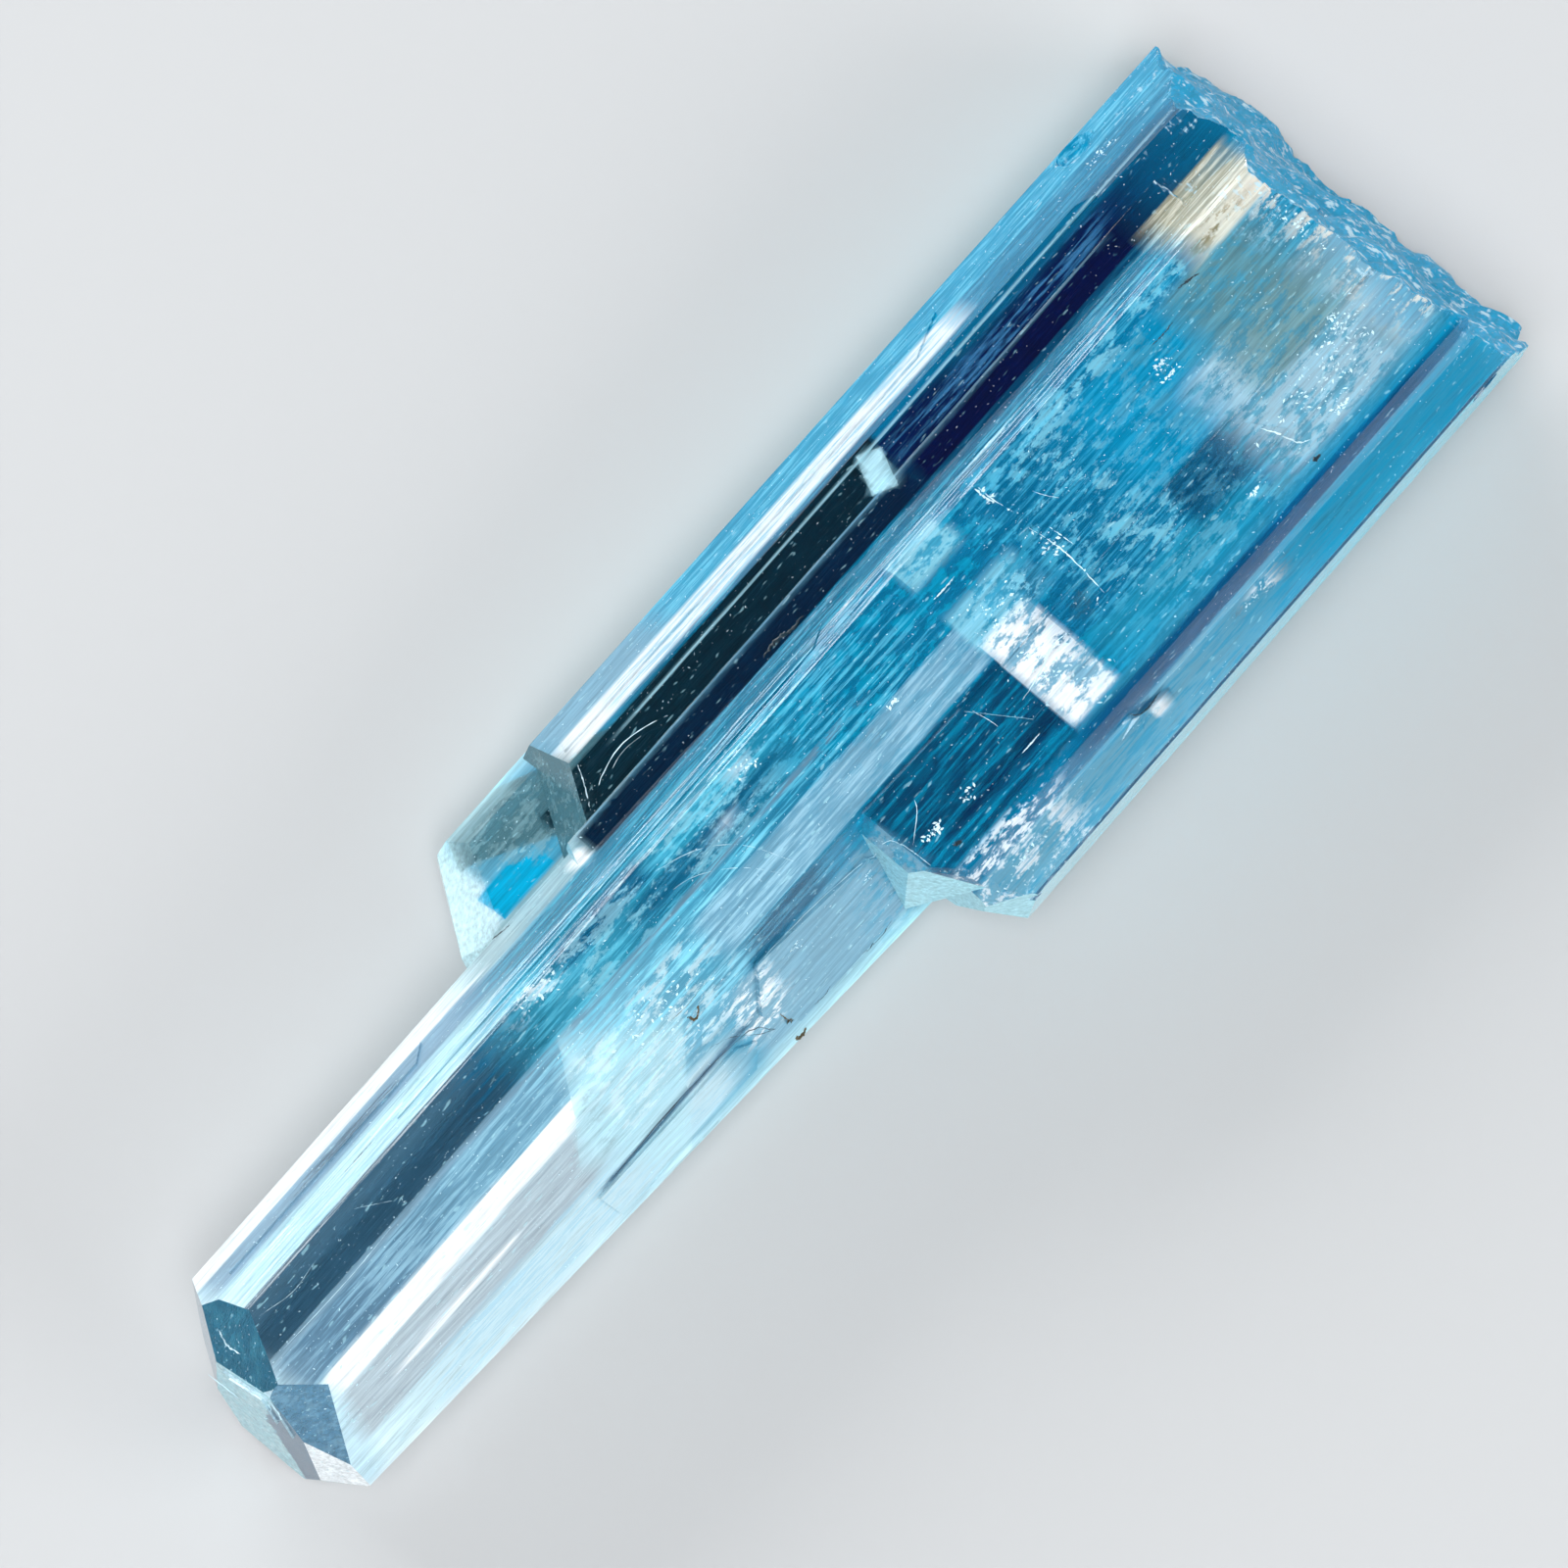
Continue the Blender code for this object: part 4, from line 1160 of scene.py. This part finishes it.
def beryl_material():
    """Beryl, clear where it is dark and milky where it is pale, with growth streaks along X,
    clouds, fine flecks, and a frosted fracture."""
    material, tree, shader = new_material("beryl")
    shader.inputs["IOR"].default_value = 1.577
    place = place_in_mm(tree)
    streaks = noise(tree, place, (0.30, 5.5, 5.5), 4.0, 0.68)["Fac"]
    clouds = noise(tree, place, (0.75, 1.7, 1.7), 4.0, 0.75)["Fac"]
    flecks = noise(tree, place, (1.6, 5.5, 5.5), 1.0, 0.5)["Fac"]

    colour, _ = colour_layer(tree, EVEN)
    tone = add_node(
        tree, "ShaderNodeMapRange",
        {"Value": streaks, "From Min": 0.3, "From Max": 0.7, "To Min": 0.80, "To Max": 1.22},
    ).outputs["Result"]
    patterns = {CLOUDY: fade(tree, clouds, 0.47, 0.58), STREAKY: fade(tree, streaks, 0.46, 0.60)}
    for kind, pattern in patterns.items():
        over, cover = colour_layer(tree, kind)
        colour = mix_colour(tree, multiply(tree, cover, pattern), colour, over)
    colour = add_node(
        tree, "ShaderNodeVectorMath", {0: colour, "Scale": tone}, operation="SCALE"
    ).outputs[0]
    fleck_cover = multiply(tree, fade(tree, flecks, 0.67, 0.76), 0.45)
    colour = mix_colour(tree, fleck_cover, colour, FLECK_COLOUR)

    frost = add_node(tree, "ShaderNodeAttribute", attribute_name=FROST).outputs["Fac"]
    chips = noise(tree, place, (3.2, 1.6, 3.4), 2.0, 0.7)["Fac"]
    chip_cover = multiply(tree, fade(tree, chips, 0.55, 0.66), frost)
    colour = mix_colour(tree, chip_cover, colour, CHIP_COLOUR)
    tree.links.new(colour, shader.inputs["Base Color"])

    light = add_node(tree, "ShaderNodeRGBToBW", {"Color": colour}).outputs[0]
    root = add_node(tree, "ShaderNodeMath", {0: light, 1: 0.5}, operation="POWER").outputs[0]
    for socket, value, factor, start in (
        ("Transmission Weight", root, -0.80, 0.97),
        ("Roughness", frost, 0.30, 0.05),
    ):
        scaled = add_node(
            tree, "ShaderNodeMath", {0: value, 1: factor, 2: start},
            operation="MULTIPLY_ADD", use_clamp=True,
        )
        tree.links.new(scaled.outputs[0], shader.inputs[socket])

    lines = noise(tree, place, (0.3, 12.0, 12.0), 0.0, 0.5)["Fac"]
    bump = add_node(
        tree, "ShaderNodeBump", {"Height": lines, "Strength": 0.3, "Distance": 0.03 * MM}
    )
    tree.links.new(bump.outputs[0], shader.inputs["Normal"])

    absorption = add_node(
        tree, "ShaderNodeVolumeAbsorption", {"Color": (0.15, 0.84, 0.96, 1.0), "Density": 34.0}
    )
    tree.links.new(absorption.outputs[0], tree.nodes["Material Output"].inputs["Volume"])
    return material


def flake_material(name, colour):
    """Plain inclusions of that colour, darker in patches."""
    darkest = 0.72
    material, tree, shader = new_material(name)
    place = add_node(tree, "ShaderNodeTexCoord").outputs["Object"]
    patches = add_node(
        tree, "ShaderNodeTexNoise", {"Vector": place, "Scale": 900.0, "Detail": 3.0}
    ).outputs["Fac"]
    darker = tuple(darkest * part for part in colour)
    shade = mix_colour(tree, fade(tree, patches, 0.40, 0.62), (*darker, 1.0), (*colour, 1.0))
    tree.links.new(shade, shader.inputs["Base Color"])
    shader.inputs["Roughness"].default_value = 0.35
    return material


# ---- studio -----------------------------------------------------------------------------
PHI = math.radians(15.0)  # how far the camera leans towards the tip
THETA = math.radians(6.0)  # how far it leans towards the right prism
ROLL = math.radians(48.4)  # angle of the crystal axis over the picture's level
LOOK_AT = (-1.28 * MM, 1.04 * MM, 5.0 * MM)
PICTURE_WIDTH = 63.83 * MM  # what the camera takes in at LOOK_AT
SENSOR = 36.0
NEAREST = 0.01  # the camera sees from here on

FLOOR_SIZE = 3.0
FLOOR_GAP = 0.1 * MM  # under the crystal, so that the two never share a plane
AIM = (0.0, 0.0, 0.005)  # what the softboxes are turned to
ROOM_COLOUR = (0.93, 0.97, 1.0, 1.0)
ROOM_TOP = 0.15  # strength overhead, against that of the walls

# The softboxes: place, width and height. The settings hold their power.
SOFTBOXES = {
    "top": ((-0.26, -0.10, 0.62), 0.36, 0.36),
    "key": ((0.10, 0.50, 0.22), 0.50, 0.25),
    "fill": ((0.15, -0.50, 0.25), 0.45, 0.25),
}

# Light paths: enough for the light to pass the inclusions, and no more.
BOUNCES, DIFFUSE_BOUNCES = 8, 3
NOISE_THRESHOLD = 0.05


def add_camera(lens):
    """The camera, turned so that the crystal rises from lower left to upper right."""
    back = Vector(
        (-math.sin(PHI), -math.cos(PHI) * math.sin(THETA), math.cos(PHI) * math.cos(THETA))
    )
    axis = Vector(
        (math.cos(PHI), -math.sin(THETA) * math.sin(PHI), math.cos(THETA) * math.sin(PHI))
    )
    side = back.cross(axis)
    right = axis * math.cos(ROLL) - side * math.sin(ROLL)
    up = axis * math.sin(ROLL) + side * math.cos(ROLL)
    data = bpy.data.cameras.new("camera")
    data.lens = lens
    data.sensor_width = SENSOR
    data.clip_start = NEAREST
    camera = bpy.data.objects.new("camera", data)
    bpy.context.scene.collection.objects.link(camera)
    camera.location = Vector(LOOK_AT) + back * PICTURE_WIDTH * lens / SENSOR
    camera.rotation_euler = Matrix((right, up, back)).transposed().to_euler()
    bpy.context.scene.camera = camera


def add_softbox(name, place, width, height, power):
    """A rectangular softbox at that place, aimed at the crystal. The camera doesn't see it."""
    light = bpy.data.lights.new(name, "AREA")
    light.shape = "RECTANGLE"
    light.size, light.size_y = width, height
    light.energy = power
    softbox = bpy.data.objects.new(name, light)
    bpy.context.scene.collection.objects.link(softbox)
    softbox.location = place
    softbox.rotation_euler = (Vector(place) - Vector(AIM)).to_track_quat("Z", "Y").to_euler()
    softbox.visible_camera = False


def add_floor(colour):
    """The plain floor, a hair under the crystal."""
    bpy.ops.mesh.primitive_plane_add(size=FLOOR_SIZE, location=(0.0, 0.0, BOTTOM - FLOOR_GAP))
    floor = bpy.context.object
    floor.name = "floor"
    material, _, shader = new_material("floor")
    shader.inputs["Base Color"].default_value = (*colour, 1.0)
    shader.inputs["Roughness"].default_value = 0.9
    shader.inputs["Specular IOR Level"].default_value = 0.2
    floor.data.materials.append(material)


def light_room(strength):
    """Even light from the walls, that is weaker overhead."""
    world = bpy.data.worlds.new("room")
    bpy.context.scene.world = world
    world.use_nodes = True
    tree = world.node_tree
    background = tree.nodes["Background"]
    direction = add_node(tree, "ShaderNodeTexCoord").outputs["Generated"]
    height = add_node(tree, "ShaderNodeSeparateXYZ", {0: direction}).outputs["Z"]
    ends = {
        "From Min": 0.25, "From Max": 0.95, "To Min": strength, "To Max": ROOM_TOP * strength,
    }
    walls = add_node(
        tree, "ShaderNodeMapRange", {"Value": height, **ends}, interpolation_type="SMOOTHSTEP"
    )
    background.inputs["Color"].default_value = ROOM_COLOUR
    tree.links.new(walls.outputs["Result"], background.inputs["Strength"])


class AQUAMARINE_OT_studio(bpy.types.Operator):
    """Set the floor, the softboxes, the room light and the camera"""

    bl_idname = "aquamarine.studio"
    bl_label = "Studio"

    def execute(self, context):
        scene = context.scene
        settings = scene.aquamarine.studio
        add_floor(settings.floor_colour)
        for name, (place, width, height) in SOFTBOXES.items():
            add_softbox(name, place, width, height, getattr(settings, name + "_power"))
        light_room(settings.sky)
        add_camera(settings.lens)
        scene.view_settings.view_transform = "Standard"
        scene.cycles.max_bounces = BOUNCES
        scene.cycles.transmission_bounces = BOUNCES
        scene.cycles.diffuse_bounces = DIFFUSE_BOUNCES
        scene.cycles.adaptive_threshold = NOISE_THRESHOLD
        return {"FINISHED"}


class AQUAMARINE_PT_sidebar(bpy.types.Panel):
    """Buttons for each part of the crystal"""

    bl_label = "Aquamarine crystal"
    bl_space_type = "VIEW_3D"
    bl_region_type = "UI"
    bl_category = "Aquamarine"

    def draw(self, context):
        for operator in OPERATORS:
            self.layout.operator(operator.bl_idname)
        for group in (context.scene.aquamarine.crystal, context.scene.aquamarine.studio):
            box = self.layout.box()
            for name in group.bl_rna.properties.keys():
                if name not in ("rna_type", "name"):
                    box.prop(group, name)


OPERATORS = (
    AQUAMARINE_OT_crystal,
    AQUAMARINE_OT_clouds,
    AQUAMARINE_OT_marks,
    AQUAMARINE_OT_studio,
)
CLASSES = (
    CrystalSettings,
    StudioSettings,
    AquamarineSettings,
    *OPERATORS,
    AQUAMARINE_PT_sidebar,
)


def register():
    for kind in CLASSES:
        bpy.utils.register_class(kind)
    bpy.types.Scene.aquamarine = PointerProperty(type=AquamarineSettings)


def unregister():
    del bpy.types.Scene.aquamarine
    for kind in reversed(CLASSES):
        bpy.utils.unregister_class(kind)


def main():
    register()
    bpy.ops.aquamarine.crystal()
    bpy.ops.aquamarine.clouds()
    bpy.ops.aquamarine.marks()
    bpy.ops.aquamarine.studio()


if __name__ == "__main__":
    main()
